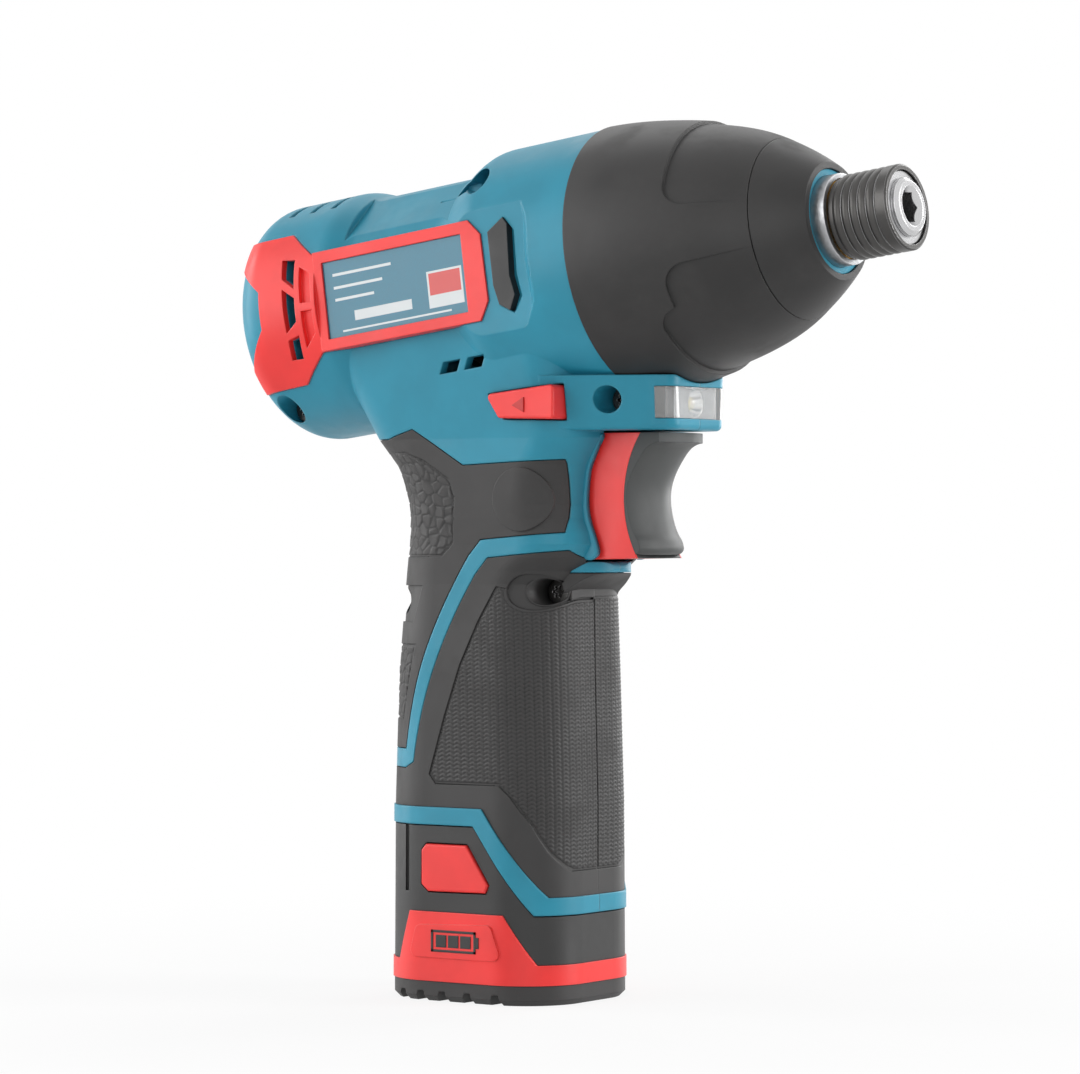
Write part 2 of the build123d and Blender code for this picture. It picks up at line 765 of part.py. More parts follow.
def selector_outline():
    """The wedge of the direction selector in the side view."""
    return lifted((9.8, 137.8), (13.4, 132.4), (28.4, 132.0), (28.4, 139.8))


def skirt_panel_outline():
    """The raised field on each side of the skirt."""
    return [(-10.6, 17.4), (10.0, 18.1), (12.9, 10.0), (-12.7, 10.0)]


def skirt_outline():
    """The red skirt: a low band that rises to a trapezoid on each side."""
    band = [(SIDE, FOOT_HEIGHT), (SIDE, SKIRT_HEIGHT), (19.8, SKIRT_HEIGHT)]
    rise = [(12.8, SKIRT_TOP), (-13.0, SKIRT_TOP), (-16.8, SKIRT_HEIGHT)]
    return band + rise + [(-SIDE, SKIRT_HEIGHT), (-SIDE, FOOT_HEIGHT)]


def vent_cells():
    """The open cells of the rear grille, as outlines of station and height."""
    return [
        [(-53.8, 12.2), (-50.0, 11.7), (-49.6, 4.8), (-53.3, 7.6)],
        [(-53.2, 5.2), (-49.6, 2.6), (-49.7, -2.9), (-53.0, -5.2)],
        [(-53.0, -6.8), (-49.6, -6.0), (-50.2, -11.4), (-53.6, -11.3)],
    ]


def blind_cells():
    """The sunk cells of the rear grille beside the plate."""
    return [
        [(-48.4, 9.8), (-45.0, 7.6), (-44.8, 1.0), (-48.0, 1.2)],
        [(-48.0, -0.7), (-44.8, -0.8), (-44.9, -6.2), (-48.4, -9.3)],
    ]


def screw_places():
    """X, Z and head depth of every clamshell screw."""
    places = []
    for station, height, depth in (COLLAR_SCREW, REAR_SCREW):
        spot = (BARREL * Pos(station, 0, height)).position
        places.append((spot.X, spot.Z, depth))
    return places + [CHIN_SCREW, GRIP_SCREW, BACK_SCREW]


RIGHT_HALF = block((-SIDE, SIDE), (-SIDE, 0), (-SIDE, 2 * SIDE))


def chin_form():
    """The light chin: it leaves the housing's flanks, narrows to a blunt front and widens upwards."""
    levels = []
    for height, share in ((CHIN_LOW, 0), (CHIN_HIGH, 1)):
        right = [(x, -half - share * wider) for x, half, wider in CHIN_PLAN]
        left = [(x, -y) for x, y in reversed(right)]
        levels.append(Pos(0, 0, height) * make_face(Polyline(*right, *left, close=True)))
    body = loft(levels, ruled=True)
    middle = (CHIN_LOW + CHIN_HIGH) / 2
    front = [e for e in body.edges() if e.center().X > CHIN_FRONT - CHIN_EDGE]
    body = fillet([e for e in front if abs(e.center().Z - middle) < CHIN_EDGE], CHIN_CORNER)
    inside = CHIN_PLAN[0][0] + CHIN_EDGE
    under = [e for e in body.edges().group_by(Axis.Z)[0] if e.center().X > inside]
    return fillet(under, CHIN_EDGE)


def lip_form():
    """The lip under the trigger: a beak in the side view, with a round end in plan."""
    low = LIP_TOP - LIP_DROP
    crest = (LIP_TIP - LIP_THICK / 2, LIP_TOP)
    under = (LIP_TIP - LIP_THICK / 3, LIP_TOP - LIP_THICK)
    knee = (LIP_HEEL + LIP_THICK, LIP_TOP - LIP_DROP + LIP_THICK)
    heel = (LIP_HEEL, low)
    side = Curve() + [
        Polyline((LIP_ROOT, low), (LIP_ROOT, LIP_TOP), crest),
        TangentArc(crest, under, tangent=(1, 0)),
        Spline(under, knee, heel, tangents=((-1, -0.25), (-0.4, -1))),
        Line(heel, (LIP_ROOT, low)),
    ]
    radius = LIP_WIDTH / 2 - LIP_THICK / 2
    back = LIP_TIP - LIP_WIDTH
    plan = Pos((back + LIP_TIP) / 2, 0, low) * RectangleRounded(LIP_TIP - back, LIP_WIDTH, radius)
    return prism(side, -LIP_WIDTH, LIP_WIDTH) & extrude(plan, LIP_DROP)


def drum_cavity():
    """The inside of the barrel shell, with the seat of the hammer case at its front."""
    drum_r = DRUM_R - SHELL_WALL
    waist_r = WAIST_R - SHELL_WALL
    seat_r = CASE_SEAT_R + SEAT
    plate_r = PLATE_R + SEAT
    rear = DRUM_END + SHELL_WALL
    return turned_points(
        (rear, 0), (rear, drum_r - DRUM_CORNER), (rear + DRUM_CORNER, drum_r), (DRUM_FRONT, drum_r),
        (WAIST_REAR, waist_r), (WAIST_FRONT, waist_r), (PLATE_REAR, plate_r), (CASE_REAR - SEAT, plate_r),
        (CASE_REAR - SEAT, seat_r), (COLLAR_END + 1, seat_r), (COLLAR_END + 1, 0),
    )


def motor_ribs():
    """Ring ribs of the shell that hold the motor near its two ends."""
    ribs = []
    for station, radius in ((MOTOR_REAR + MOTOR_RIB, DRUM_R), (MOTOR_FRONT - 2 * MOTOR_RIB, WAIST_R)):
        ribs.append(rod(station, station + MOTOR_RIB, radius - SHELL_WALL / 2, MOTOR_R + SEAT))
    return ribs


def vent_slots():
    """Openings of the right shell: grille behind the trim, pairs of side slots and top slots."""
    cuts = [prism(cell, -SIDE, 0) for cell in vent_cells()]
    for height, lean in VENT_ROWS:
        for left in VENT_STARTS:
            right = left + VENT_SLOT_LENGTH
            outline = [(left, height), (left + lean, height + VENT_SLOT_WIDTH)]
            outline += [(right + lean, height + VENT_SLOT_WIDTH), (right, height)]
            cuts.append(prism(outline, -SIDE, -VENT_INSIDE))
    for station in TOP_SLOTS:
        across = (-TOP_SLOT_REACH, TOP_SLOT_REACH)
        cuts.append(block((station, station + TOP_SLOT_WIDTH), across, (TOP_SLOT_LOW, DRUM_R + 1)))
    return cuts


def side_trims():
    """Red trim, bare rating plate and lozenge of the right side, with the room they take in the shell."""
    face_y = PANEL_Y + FRAME_PROUD
    floor = drum_form(-TRIM_THICK)
    wing_room = prism(trim_outline(), -SIDE, 0) - prism(frame_outline(), -SIDE, 0)
    wings = (drum_form(TRIM_PROUD) - floor) & wing_room
    bed = floor - prism(frame_outline(), -SIDE, FRAME_BED - PANEL_Y)
    trim = wings + (prism(frame_outline(), -face_y, -WAIST_R / 2) - bed)
    plate_box = [(PLATE_LEFT, PLATE_LOW), (PLATE_RIGHT, PLATE_LOW)]
    plate_box += [(PLATE_RIGHT, PLATE_HIGH), (PLATE_LEFT, PLATE_HIGH)]
    plate = prism(plate_box, -PANEL_Y, PLATE_THICK - PANEL_Y)
    trim -= prism(plate_box, -face_y, PLATE_THICK - PANEL_Y)
    for cell in vent_cells():
        trim -= prism(cell, -SIDE, 0)
    blind_floor = drum_form(TRIM_PROUD - BLIND_CELL_DEPTH)
    for cell in blind_cells():
        trim -= prism(cell, -SIDE, 0) - blind_floor
    room = (prism(trim_outline(), -SIDE, 0) - floor) + (prism(frame_outline(), -SIDE, -WAIST_R / 2) - bed)
    insert_floor = PANEL_Y - INSERT_DEPTH
    insert = prism(insert_outline(), -PANEL_Y - INSERT_PROUD, -insert_floor)
    insert_room = prism(insert_room_outline(), -SIDE, -insert_floor)
    return trim, plate, insert, room, insert_room


def holding_ribs():
    """Ribs of the right half that hold the switch and the terminal block at their sides."""
    ribs = []
    for x in (SWITCH_BACK + RIB_INSET, SWITCH_FRONT - RIB_INSET - RIB_THICK):
        beside = (-SIDE, -SWITCH_WIDTH / 2 - SEAT)
        ribs.append(block((x, x + RIB_THICK), beside, (SWITCH_LOW + RIB_SHORT, SWITCH_HIGH - RIB_SHORT)))
    along = (-BLOCK_RIB / 2, BLOCK_RIB / 2)
    beside = (-SIDE, -BLOCK_WIDTH / 2 - SEAT)
    ribs.append(block(along, beside, (BLOCK_LOW + BLOCK_RIB_SHORT, BLOCK_HIGH - BLOCK_RIB_SHORT)))
    return ribs


def lens_block(grow=0.0):
    """The room of the light's lens in the chin's front, clear of the boot above it."""
    front = block((LENS_LEFT, CHIN_FRONT + 1), (-SIDE, SIDE), (LENS_LOW - grow, LENS_HIGH + grow))
    return front - BARREL * boot_form(SEAM + LENS_ROOF - grow)


def light_room(inset=0.0):
    """The chamber behind the lens for the light and its board."""
    half = CHIN_NOSE - LENS_THICK - inset
    upright = (LENS_LOW + inset, LENS_HIGH - inset)
    room = block((LIGHT_BACK, CHIN_FRONT - LENS_THICK), (-half, half), upright)
    return room - BARREL * boot_form(SEAM + LENS_ROOF + inset)


def barrel_flats():
    """What the flats take off the right side of the barrel: sunk panel with its bevel, and facet."""
    inner = side_face(panel_outline())
    outer = offset(inner, PANEL_BEVEL, kind=Kind.INTERSECTION)
    levels = [Plane.XZ.offset(PANEL_Y) * inner, Plane.XZ.offset(PANEL_Y + PANEL_STEP) * outer]
    panel = loft(levels, ruled=True)
    wide = FACET_WIDTH / 2
    facet = block((FACET_REAR, FACET_FRONT), (-wide, wide), (FACET_R, 2 * FACET_R))
    return [panel, Rot(FACET_TURN, 0, 0) * facet]


def housing_form():
    """The outside of the right clamshell, above the battery seam and behind the rubber boot."""
    form = BARREL * drum_form() + saddle_form() + handle_form() + chin_form() + lip_form()
    form -= BARREL * (boot_form(SEAM) - rod(0, BOOT_START - SEAT, COLLAR_R + 1))
    form -= [BARREL * flat for flat in barrel_flats()]
    form = form & above_seam(0)
    bead = handle_form(BAND_BEAD) - handle_form(-GRIP_SKIN)
    form += bead & above_seam(0) & below_seam(-BAND_HEIGHT)
    return form & RIGHT_HALF


def clamshell(rooms):
    """The right clamshell without its screw holes: shell, ribs and bosses, less rooms of other pieces."""
    outer = housing_form()
    cavity = handle_form(-HANDLE_WALL) + saddle_form(-HANDLE_WALL) + BARREL * drum_cavity()
    ribs = [BARREL * rib for rib in motor_ribs()] + holding_ribs()
    ribs += [cross_rod(x, z, SCREW_BOSS_R, -SIDE, 0) for x, z, depth in screw_places()]
    shell = outer - cavity
    shell += [rib & outer for rib in ribs]
    opening = TRIGGER_WIDTH / 2 + TRIGGER_GAP
    shell -= [
        BARREL * rod(PLATE_REAR - SEAT, CASE_REAR, PLATE_R + SEAT),
        BARREL * rod(CASE_REAR - SEAT, COLLAR_END + 1, CASE_SEAT_R + SEAT),
        BARREL * rod(MOTOR_REAR - 2 * END_BELL_THICK, MOTOR_FRONT, MOTOR_R + SEAT),
        block((SWITCH_FRONT, SIDE), (-opening, opening), (LIP_TOP, TRIGGER_HIGH + TRIGGER_GAP)),
        wide_prism(selector_outline(), MOVE_GAP),
        lens_block(SEAT),
        light_room(),
    ]
    shell -= [BARREL * slot for slot in vent_slots()]
    for room in rooms:
        shell -= room
    return shell


def sunk(outline, depth):
    """What a sunk field takes off the handle's surface, inside a side outline."""
    return (handle_form() - handle_form(-depth)) & wide_prism(outline)


def screw_dish():
    """The shallow oval dish of the overmould round the grip screw."""
    x, z, depth = GRIP_SCREW
    oval = Pos(x - DISH_SHIFT, z) * Ellipse(DISH_LONG, DISH_HIGH)
    through = extrude(Plane.XZ.offset(-SIDE) * oval, 2 * SIDE, dir=(0, -1, 0))
    return (handle_form() - handle_form(-DISH_DEPTH)) & through


def grip_skins():
    """The right front and rear overmoulds, each with the room that it takes in the clamshell."""
    skin = handle_form() - handle_form(-GRIP_SKIN) + (saddle_form() - saddle_form(-GRIP_SKIN))
    skin = skin & RIGHT_HALF
    lip = lip_form()
    under = LIP_TOP - LIP_THICK
    lip_skin = (lip & block((0, SIDE), (-SIDE, 0), (0, under))) - handle_form(-GRIP_SKIN)
    lip_room = (lip & block((0, SIDE), (-SIDE, 0), (0, under + SEAM))) - handle_form(-GRIP_SKIN)
    opening = TRIGGER_WIDTH / 2 + TRIGGER_GAP
    trigger_room = block((0, SIDE), (-opening, opening), (LIP_TOP, TRIGGER_HIGH + TRIGGER_GAP))
    boss = (handle_form(BOSS_PROUD) - handle_form(-GRIP_SKIN)) & cross_rod(BOSS_X, BOSS_Z, BOSS_R, -SIDE, 0)
    rear = (skin & wide_prism(rear_grip_outline())) + boss - trigger_room
    rear -= [sunk(field, FIELD_DEPTH) for field in back_fields()]
    rear -= sunk(back_plate_outline(), BACK_PLATE_DEPTH)
    front = (skin & wide_prism(front_grip_outline())) - lip - trigger_room + lip_skin
    front -= sunk(palm_field_outline(), FIELD_DEPTH)
    rear_room = skin & wide_prism(rear_grip_outline(), SEAM)
    front_room = (skin & wide_prism(front_grip_outline(), SEAM)) - lip + lip_room
    return front, rear, front_room, rear_room


def housing_parts():
    """Clamshells with their overmoulds, trims, plates and inserts, right and left."""
    front, rear, front_room, rear_room = grip_skins()
    trim, plate, insert, trim_room, insert_room = side_trims()
    shell = clamshell([BARREL * trim_room, BARREL * insert_room, rear_room, front_room])
    wells, shanks, pilots = [], [], []
    for x, z, depth in screw_places():
        wells.append(cross_rod(x, z, SCREW_HOLE_R, -SIDE, -depth))
        shanks.append(cross_rod(x, z, SCREW_R + SEAT, -depth, 0))
        pilots.append(cross_rod(x, z, SCREW_R + SEAT / 2, 0, SCREW_END + 1))
    nodes = {
        "right_housing": shell - (wells + shanks),
        "left_housing": mirror(shell, Plane.XZ) - pilots,
        "right_front_grip": front - screw_dish() - wells,
        "left_front_grip": mirror(front, Plane.XZ),
        "right_rear_grip": rear - wells,
        "left_rear_grip": mirror(rear, Plane.XZ),
        "housing_screws": Compound([screw(*place) for place in screw_places()]),
    }
    for name, piece in (("side_trim", trim), ("plate", plate), ("side_insert", insert)):
        nodes[f"right_{name}"] = BARREL * piece
        nodes[f"left_{name}"] = mirror(BARREL * piece, Plane.XZ)
    return nodes


def screw(x, z, depth):
    """One clamshell screw: a pan head in its well and a shank into the left half."""
    head = cross_rod(x, z, SCREW_HEAD_R, -depth - SCREW_HEAD, -depth)
    head -= Pos(x, -depth - SCREW_HEAD, z) * Rot(90, 0, 0) * star_recess()
    return (head + cross_rod(x, z, SCREW_R, -depth, SCREW_END)).solid()


def star_recess():
    """The six-lobed recess of a screw head, cut from its top face."""
    lobes = Circle(RECESS_R)
    for turn in range(RECESS_LOBES):
        lobes += Rot(0, 0, 360 * turn / RECESS_LOBES) * Pos(RECESS_REACH, 0) * Circle(RECESS_LOBE_R)
    return extrude(lobes, RECESS_DEPTH, both=True)


def light_parts():
    """Clear lens round the chin's front, and the board with its light in the chamber behind it."""
    lens = (chin_form() & lens_block()) - light_room()
    face = LIGHT_BACK + SEAT + LED_BOARD_THICK
    upright = (LENS_LOW, LENS_HIGH)
    board = light_room(SEAT) & block((LIGHT_BACK + SEAT, face), (-SIDE, SIDE), upright)
    middle = (LENS_LOW + LENS_HIGH) / 2
    dome = Pos(face, 0, middle) * Rot(0, 90, 0) * Cylinder(LED_R, LED_R / 2, align=LOW)
    dome += Pos(face + LED_R / 2, 0, middle) * Sphere(LED_R) & block((face, SIDE), (-LED_R, LED_R), upright)
    return {"led_lens": lens, "led_board": board + dome}


def boot_relief():
    """The lowered fields of the boot's front, deepest at their step and gone at the parting line."""
    end = BOOT_RADII[-1][0]
    lowered = []
    for station, radius in BOOT_RADII:
        share = min(1.0, (end - station) / (end - RELIEF_START))
        lowered.append((station, radius - RELIEF_DEPTH * share))
    first, last = lowered[0], lowered[-1]
    floor = turned(profile_edges(lowered, 0), Polyline(last, (end, 0), (first[0], 0), first))
    fields = []
    for middle, spread, start in RELIEF_FIELDS:
        field = arc_block(start, end + 1, CASE_THROAT_R / 2, 2 * COLLAR_R, middle, spread)
        straight = [e for e in field.edges() if e.geom_type == GeomType.LINE]
        corners = [e for e in straight if abs(e.center().X - start) < SEAT]
        fields.append(fillet(corners, RELIEF_ROUND) - floor)
    return fields


def case_parts():
    """Hammer case, rubber boot with its front section, the teal ring in its mouth and the anvil bush."""
    first, last = BOOT_RADII[0], BOOT_RADII[-1]
    step = first[1] - BOOT_THICK
    neck = (last[0], last[1] - BOOT_THICK)
    case = turned(
        Polyline(
            (CASE_REAR, CASE_BORE_R), (CASE_REAR, CASE_SEAT_R), (first[0], CASE_SEAT_R), (first[0], step),
        ),
        profile_edges(BOOT_RADII, BOOT_THICK),
        Polyline(
            neck, (SEAL_REAR, SEAL_R), (SEAL_REAR, NOSE_TUBE_R), (NOSE_TUBE_END, NOSE_TUBE_R),
            (NOSE_TUBE_END, BUSH_R + SEAT / 4), (CASE_FRONT_WALL, BUSH_R + SEAT / 4),
            (CASE_FRONT_WALL, CASE_THROAT_R), (CASE_BORE_END, CASE_BORE_R), (CASE_REAR, CASE_BORE_R),
        ),
    )
    lining = BOOT_THICK - SEAT / 2
    boot = turned(
        profile_edges(BOOT_RADII, 0),
        Line(last, (last[0], last[1] - lining)),
        profile_edges(BOOT_RADII, lining),
        Line((first[0], first[1] - lining), first),
    )
    boot -= boot_relief()
    root, mouth = NOSE_RADII[0], NOSE_RADII[-1]
    nose = turned(
        profile_edges(NOSE_RADII, 0),
        Polyline(
            mouth, (mouth[0], SEAL_R + SEAT), (SEAL_REAR + SEAT, SEAL_R + SEAT),
            (root[0], neck[1] + SEAT / 2), root,
        ),
    )
    return {
        "hammer_case": BARREL * case,
        "case_boot": BARREL * boot,
        "nose_boot": BARREL * nose,
        "nose_seal": BARREL * rod(SEAL_REAR + SEAT, SEAL_FRONT, SEAL_R, NOSE_TUBE_R + SEAT / 2),
        "anvil_bush": BARREL * rod(BUSH_REAR, BUSH_FRONT, BUSH_R, ANVIL_R + RUN),
    }


def arc_block(start, end, inner, outer, middle, spread):
    """A block bent round the barrel axis, centred on an angle from the top."""
    outline = Polyline((start, inner), (end, inner), (end, outer), (start, outer), close=True)
    return Rot(90 + middle - spread / 2, 0, 0) * revolve(make_face(outline), Axis.X, spread)


def motor_parts():
    """Brushed motor: can, magnets, end bell with brushes, and the rotor on its shaft."""
    inner = MOTOR_R - MOTOR_WALL
    pocket = BEARING_R + SEAT / 4
    hole = SHAFT_R + MOTOR_HOLE_GAP
    boss = pocket + MOTOR_BOSS_WALL
    sunk_face = MOTOR_FRONT - BEARING_SINK
    front_boss = sunk_face + BEARING_WIDTH
    can = turned_points(
        (MOTOR_REAR, inner), (MOTOR_REAR, MOTOR_R), (MOTOR_FRONT, MOTOR_R), (MOTOR_FRONT, boss),
        (front_boss, boss), (front_boss, pocket), (sunk_face, pocket), (sunk_face, hole),
        (MOTOR_FRONT - MOTOR_WALL, hole), (MOTOR_FRONT - MOTOR_WALL, inner),
    )
    bell_rear = MOTOR_REAR - END_BELL_THICK
    bell_boss = bell_rear - BELL_RISE
    bell_seat = bell_boss + BEARING_WIDTH
    bell = turned_points(
        (MOTOR_REAR, MOTOR_R), (MOTOR_REAR, hole), (bell_seat, hole), (bell_seat, pocket),
        (bell_boss, pocket), (bell_boss, boss), (bell_rear, boss), (bell_rear, MOTOR_R),
    )
    bore = SHAFT_R + SEAT / 4
    bearings = [
        rod(sunk_face, front_boss, BEARING_R, bore),
        rod(bell_boss, bell_seat, BEARING_R, bore),
    ]
    magnet_face = inner - SEAT / 2
    magnet_ends = (ARMATURE_REAR - MAGNET_OVERHANG, ARMATURE_FRONT + MAGNET_OVERHANG)
    magnet_in = magnet_face - MAGNET_THICK
    magnets = [arc_block(*magnet_ends, magnet_in, magnet_face, middle, MAGNET_ARC) for middle in (90, 270)]
    reach = COMMUTATOR_R + SEAT
    upright = (-BRUSH_WIDTH / 2, BRUSH_WIDTH / 2)
    brush = block((MOTOR_REAR + SEAT, BRUSH_FRONT), (reach, reach + BRUSH_LENGTH), upright)
    core_r = magnet_in - AIR_GAP
    armature = rod(ARMATURE_REAR, ARMATURE_FRONT, core_r, bore)
    gap = (-POLE_GAP / 2, POLE_GAP / 2)
    slot = block((ARMATURE_REAR, ARMATURE_FRONT), gap, (core_r * POLE_ROOT, core_r + 1))
    armature -= ring_of(slot, ARMATURE_POLES)
    winding_rear = ARMATURE_REAR - WINDING_OVERHANG
    armature += rod(winding_rear, ARMATURE_FRONT + WINDING_OVERHANG, core_r * WINDING_SHARE, bore)
    commutator = rod(COMMUTATOR_REAR, winding_rear - SEAT, COMMUTATOR_R, bore)
    cut = (-COMMUTATOR_CUT / 2, COMMUTATOR_CUT / 2)
    rise = (COMMUTATOR_R - 2 * COMMUTATOR_CUT, COMMUTATOR_R + 1)
    commutator -= ring_of(block((COMMUTATOR_REAR, winding_rear), cut, rise), COMMUTATOR_BARS)
    fan = rod(FAN_FRONT - FAN_DISC, FAN_FRONT, FAN_R, bore) + rod(FAN_REAR, FAN_FRONT, FAN_HUB_R, bore)
    half = FAN_BLADE_THICK / 2
    spread = (FAN_HUB_R - half, FAN_R - FAN_BLADE_DROP)
    blade = block((FAN_REAR + FAN_BLADE_THICK, FAN_FRONT - FAN_DISC / 2), (-half, half), spread)
    fan += ring_of(blade, FAN_BLADES)
    pinion_tip = MODULE * (SUN_TEETH / 2 + ADDENDUM)
    pinion_root = MODULE * (SUN_TEETH / 2 - DEDENDUM)
    pinion_face = gear_face(SUN_TEETH, pinion_tip, pinion_root, BACKLASH, 0)
    pinion = along_barrel(pinion_face, GEAR_REAR - GEAR_SPARE, GEAR_FRONT)
    pinion -= rod(GEAR_REAR - 1, GEAR_FRONT + 1, bore)
    nodes = {
        "motor_can": can,
        "motor_end_bell": bell,
        "motor_bearings": Compound([piece.solid() for piece in bearings]),
        "motor_magnets": Compound([piece.solid() for piece in magnets]),
        "motor_brushes": Compound([piece.solid() for piece in (brush, mirror(brush, Plane.XZ))]),
        "motor_shaft": rod(SHAFT_REAR, SHAFT_FRONT, SHAFT_R),
        "armature": armature,
        "commutator": commutator,
        "cooling_fan": fan,
        "sun_pinion": pinion,
    }
    return {name: BARREL * piece for name, piece in nodes.items()}


def gear_parts():
    """Planetary stage: plate, ring, three planets on pins, and the carrier's bearing."""
    bore = RING_R + SEAT / 2
    plate = rod(PLATE_REAR, PLATE_REAR + PLATE_WALL, PLATE_R, PLATE_HOLE_R)
    plate += rod(PLATE_REAR + PLATE_WALL, PLATE_FRONT, PLATE_R, bore)
    ring_pitch = MODULE * RING_TEETH / 2
    half_tooth = 180 / RING_TEETH
    ring_root = ring_pitch + MODULE * DEDENDUM
    ring_tip = ring_pitch - MODULE * ADDENDUM
    teeth = gear_face(RING_TEETH, ring_root, ring_tip, -BACKLASH, half_tooth)
    ring = rod(GEAR_REAR - GEAR_SPARE, GEAR_FRONT + GEAR_SPARE, RING_R)
    ring -= along_barrel(teeth, GEAR_REAR - 1, GEAR_FRONT + 1)
    pitch = MODULE * PLANET_TEETH / 2
    tip = pitch + MODULE * ADDENDUM
    root = pitch - MODULE * DEDENDUM
    nodes = {"gear_plate": plate, "ring_gear": ring}
    pins = []
    for i in range(PLANETS):
        turn = 360 * i / PLANETS
        face = gear_face(PLANET_TEETH, tip, root, BACKLASH, turn + 180 / PLANET_TEETH)
        place = Pos(*planet_place(turn))
        nodes[f"planet_gear_{i + 1}"] = place * (
            along_barrel(face, GEAR_REAR, GEAR_FRONT) - rod(GEAR_REAR - 1, GEAR_FRONT + 1, PIN_R + RUN)
        )
        pins.append((place * rod(GEAR_REAR, CARRIER_FRONT, PIN_R)).solid())
    nodes["planet_pins"] = Compound(pins)
    nodes["spindle_bearing"] = rod(CARRIER_REAR + SEAT, CARRIER_FRONT - SEAT, RING_R, CARRIER_R + RUN)
    return {name: BARREL * piece for name, piece in nodes.items()}


def planet_place(turn):
    """A planet's centre across the barrel, at an angle from the top towards the right."""
    angle = math.radians(turn)
    return (0, -ORBIT_R * math.sin(angle), ORBIT_R * math.cos(angle))


def impact_parts():
    """Spindle with its cam balls, sprung hammer, and the anvil with socket, bit lock and sleeve."""
    spindle = rod(CARRIER_REAR, CARRIER_FRONT, CARRIER_R)
    spindle += rod(CARRIER_FRONT, HAMMER_FRONT, SPINDLE_R)
    spindle += rod(HAMMER_FRONT, PILOT_END, PILOT_R)
    for i in range(PLANETS):
        place = Pos(*planet_place(360 * i / PLANETS))
        spindle -= place * rod(CARRIER_REAR - 1, CARRIER_FRONT + 1, PIN_R + SEAT / 4)
    ball_centre = SPINDLE_R + CAM_BALL_R - CAM_GROOVE - CAM_BALL_R / 2
    balls = []
    for sign in (-1, 1):
        spot = Pos(CAM_BALL_STATION, 0, sign * ball_centre)
        spindle -= spot * Sphere(CAM_BALL_R + SEAT / 2)
        balls.append((spot * Sphere(CAM_BALL_R)).solid())
    hammer = rod(HAMMER_REAR, HAMMER_FRONT, HAMMER_R, SPINDLE_R + RUN)
    hammer -= rod(HAMMER_REAR, SPRING_SEAT, SPRING_SEAT_OUT, SPRING_SEAT_IN)
    ball_room = CAM_BALL_R + SEAT
    hammer -= block(
        (CAM_BALL_STATION - ball_room - SEAT, HAMMER_FRONT + 1), (-ball_room, ball_room),
        (-ball_centre - ball_room, ball_centre + ball_room),
    )
    lug = (HAMMER_FRONT - LUG_ROOT, HAMMER_FRONT + LUG_LENGTH)
    hammer += [arc_block(*lug, LUG_IN, HAMMER_R, middle, LUG_ARC) for middle in (0, 180)]
    rear = HAMMER_FRONT + WING_GAP
    wing_front = rear + WING_THICK
    half = WING_WIDTH / 2
    anvil = rod(rear, wing_front, ANVIL_BODY_R)
    anvil += block((rear, wing_front), (-WING_R, WING_R), (-half, half)) & rod(rear, wing_front, WING_R)
    tip_edge = TIP_STATION - TIP_CHAMFER
    anvil += rod(wing_front, SHOULDER, ANVIL_R) + rod(SHOULDER, tip_edge, TIP_R)
    mouth = TIP_R - TIP_CHAMFER
    anvil += turned_points((tip_edge, 0), (tip_edge, TIP_R), (TIP_STATION, mouth), (TIP_STATION, 0))
    anvil -= rod(rear - 1, PILOT_END + PILOT_SPARE, PILOT_R + RUN)
    hexagon = RegularPolygon(HEX_FLATS / 2, 6, major_radius=False, rotation=30)
    anvil -= along_barrel(hexagon, HEX_BOTTOM, TIP_STATION + 1)
    lead_r = HEX_FLATS / 2 / math.cos(math.radians(30)) + HEX_LEAD
    beyond = TIP_STATION + 1
    anvil -= turned_points((TIP_STATION - lead_r, 0), (TIP_STATION, lead_r), (beyond, lead_r), (beyond, 0))
    ball_spot = Pos(BIT_BALL_STATION, 0, TIP_R - BIT_BALL_SINK)
    anvil -= Pos(BIT_BALL_STATION, 0, 0) * Cylinder(BIT_BALL_R + SEAT / 2, ANVIL_R, align=LOW)
    groove_r = TIP_R - CLIP_GROOVE
    anvil -= rod(CLIP_REAR - SEAT / 2, CLIP_REAR + CLIP_THICK + SEAT / 2, TIP_R + 1, groove_r)
    hammer_spring = coil(HAMMER_SPRING_R, HAMMER_WIRE_R, CARRIER_FRONT, SPRING_SEAT, HAMMER_SPRING_TURNS)
    spring_r = TIP_R + 2 * SLEEVE_WIRE_R + SEAT
    nodes = {
        "spindle": spindle,
        "cam_balls": Compound(balls),
        "hammer": hammer,
        "hammer_spring": hammer_spring,
        "anvil": anvil,
        "bit_ball": ball_spot * Sphere(BIT_BALL_R),
        "sleeve_clip": rod(CLIP_REAR, CLIP_REAR + CLIP_THICK, TIP_R + CLIP_RISE, groove_r + SEAT / 4),
        "sleeve_spring": coil(spring_r, SLEEVE_WIRE_R, SLEEVE_LAND_FRONT, CLIP_REAR, SLEEVE_SPRING_TURNS),
        "chuck_sleeve": sleeve_form(),
    }
    return {name: BARREL * piece for name, piece in nodes.items()}


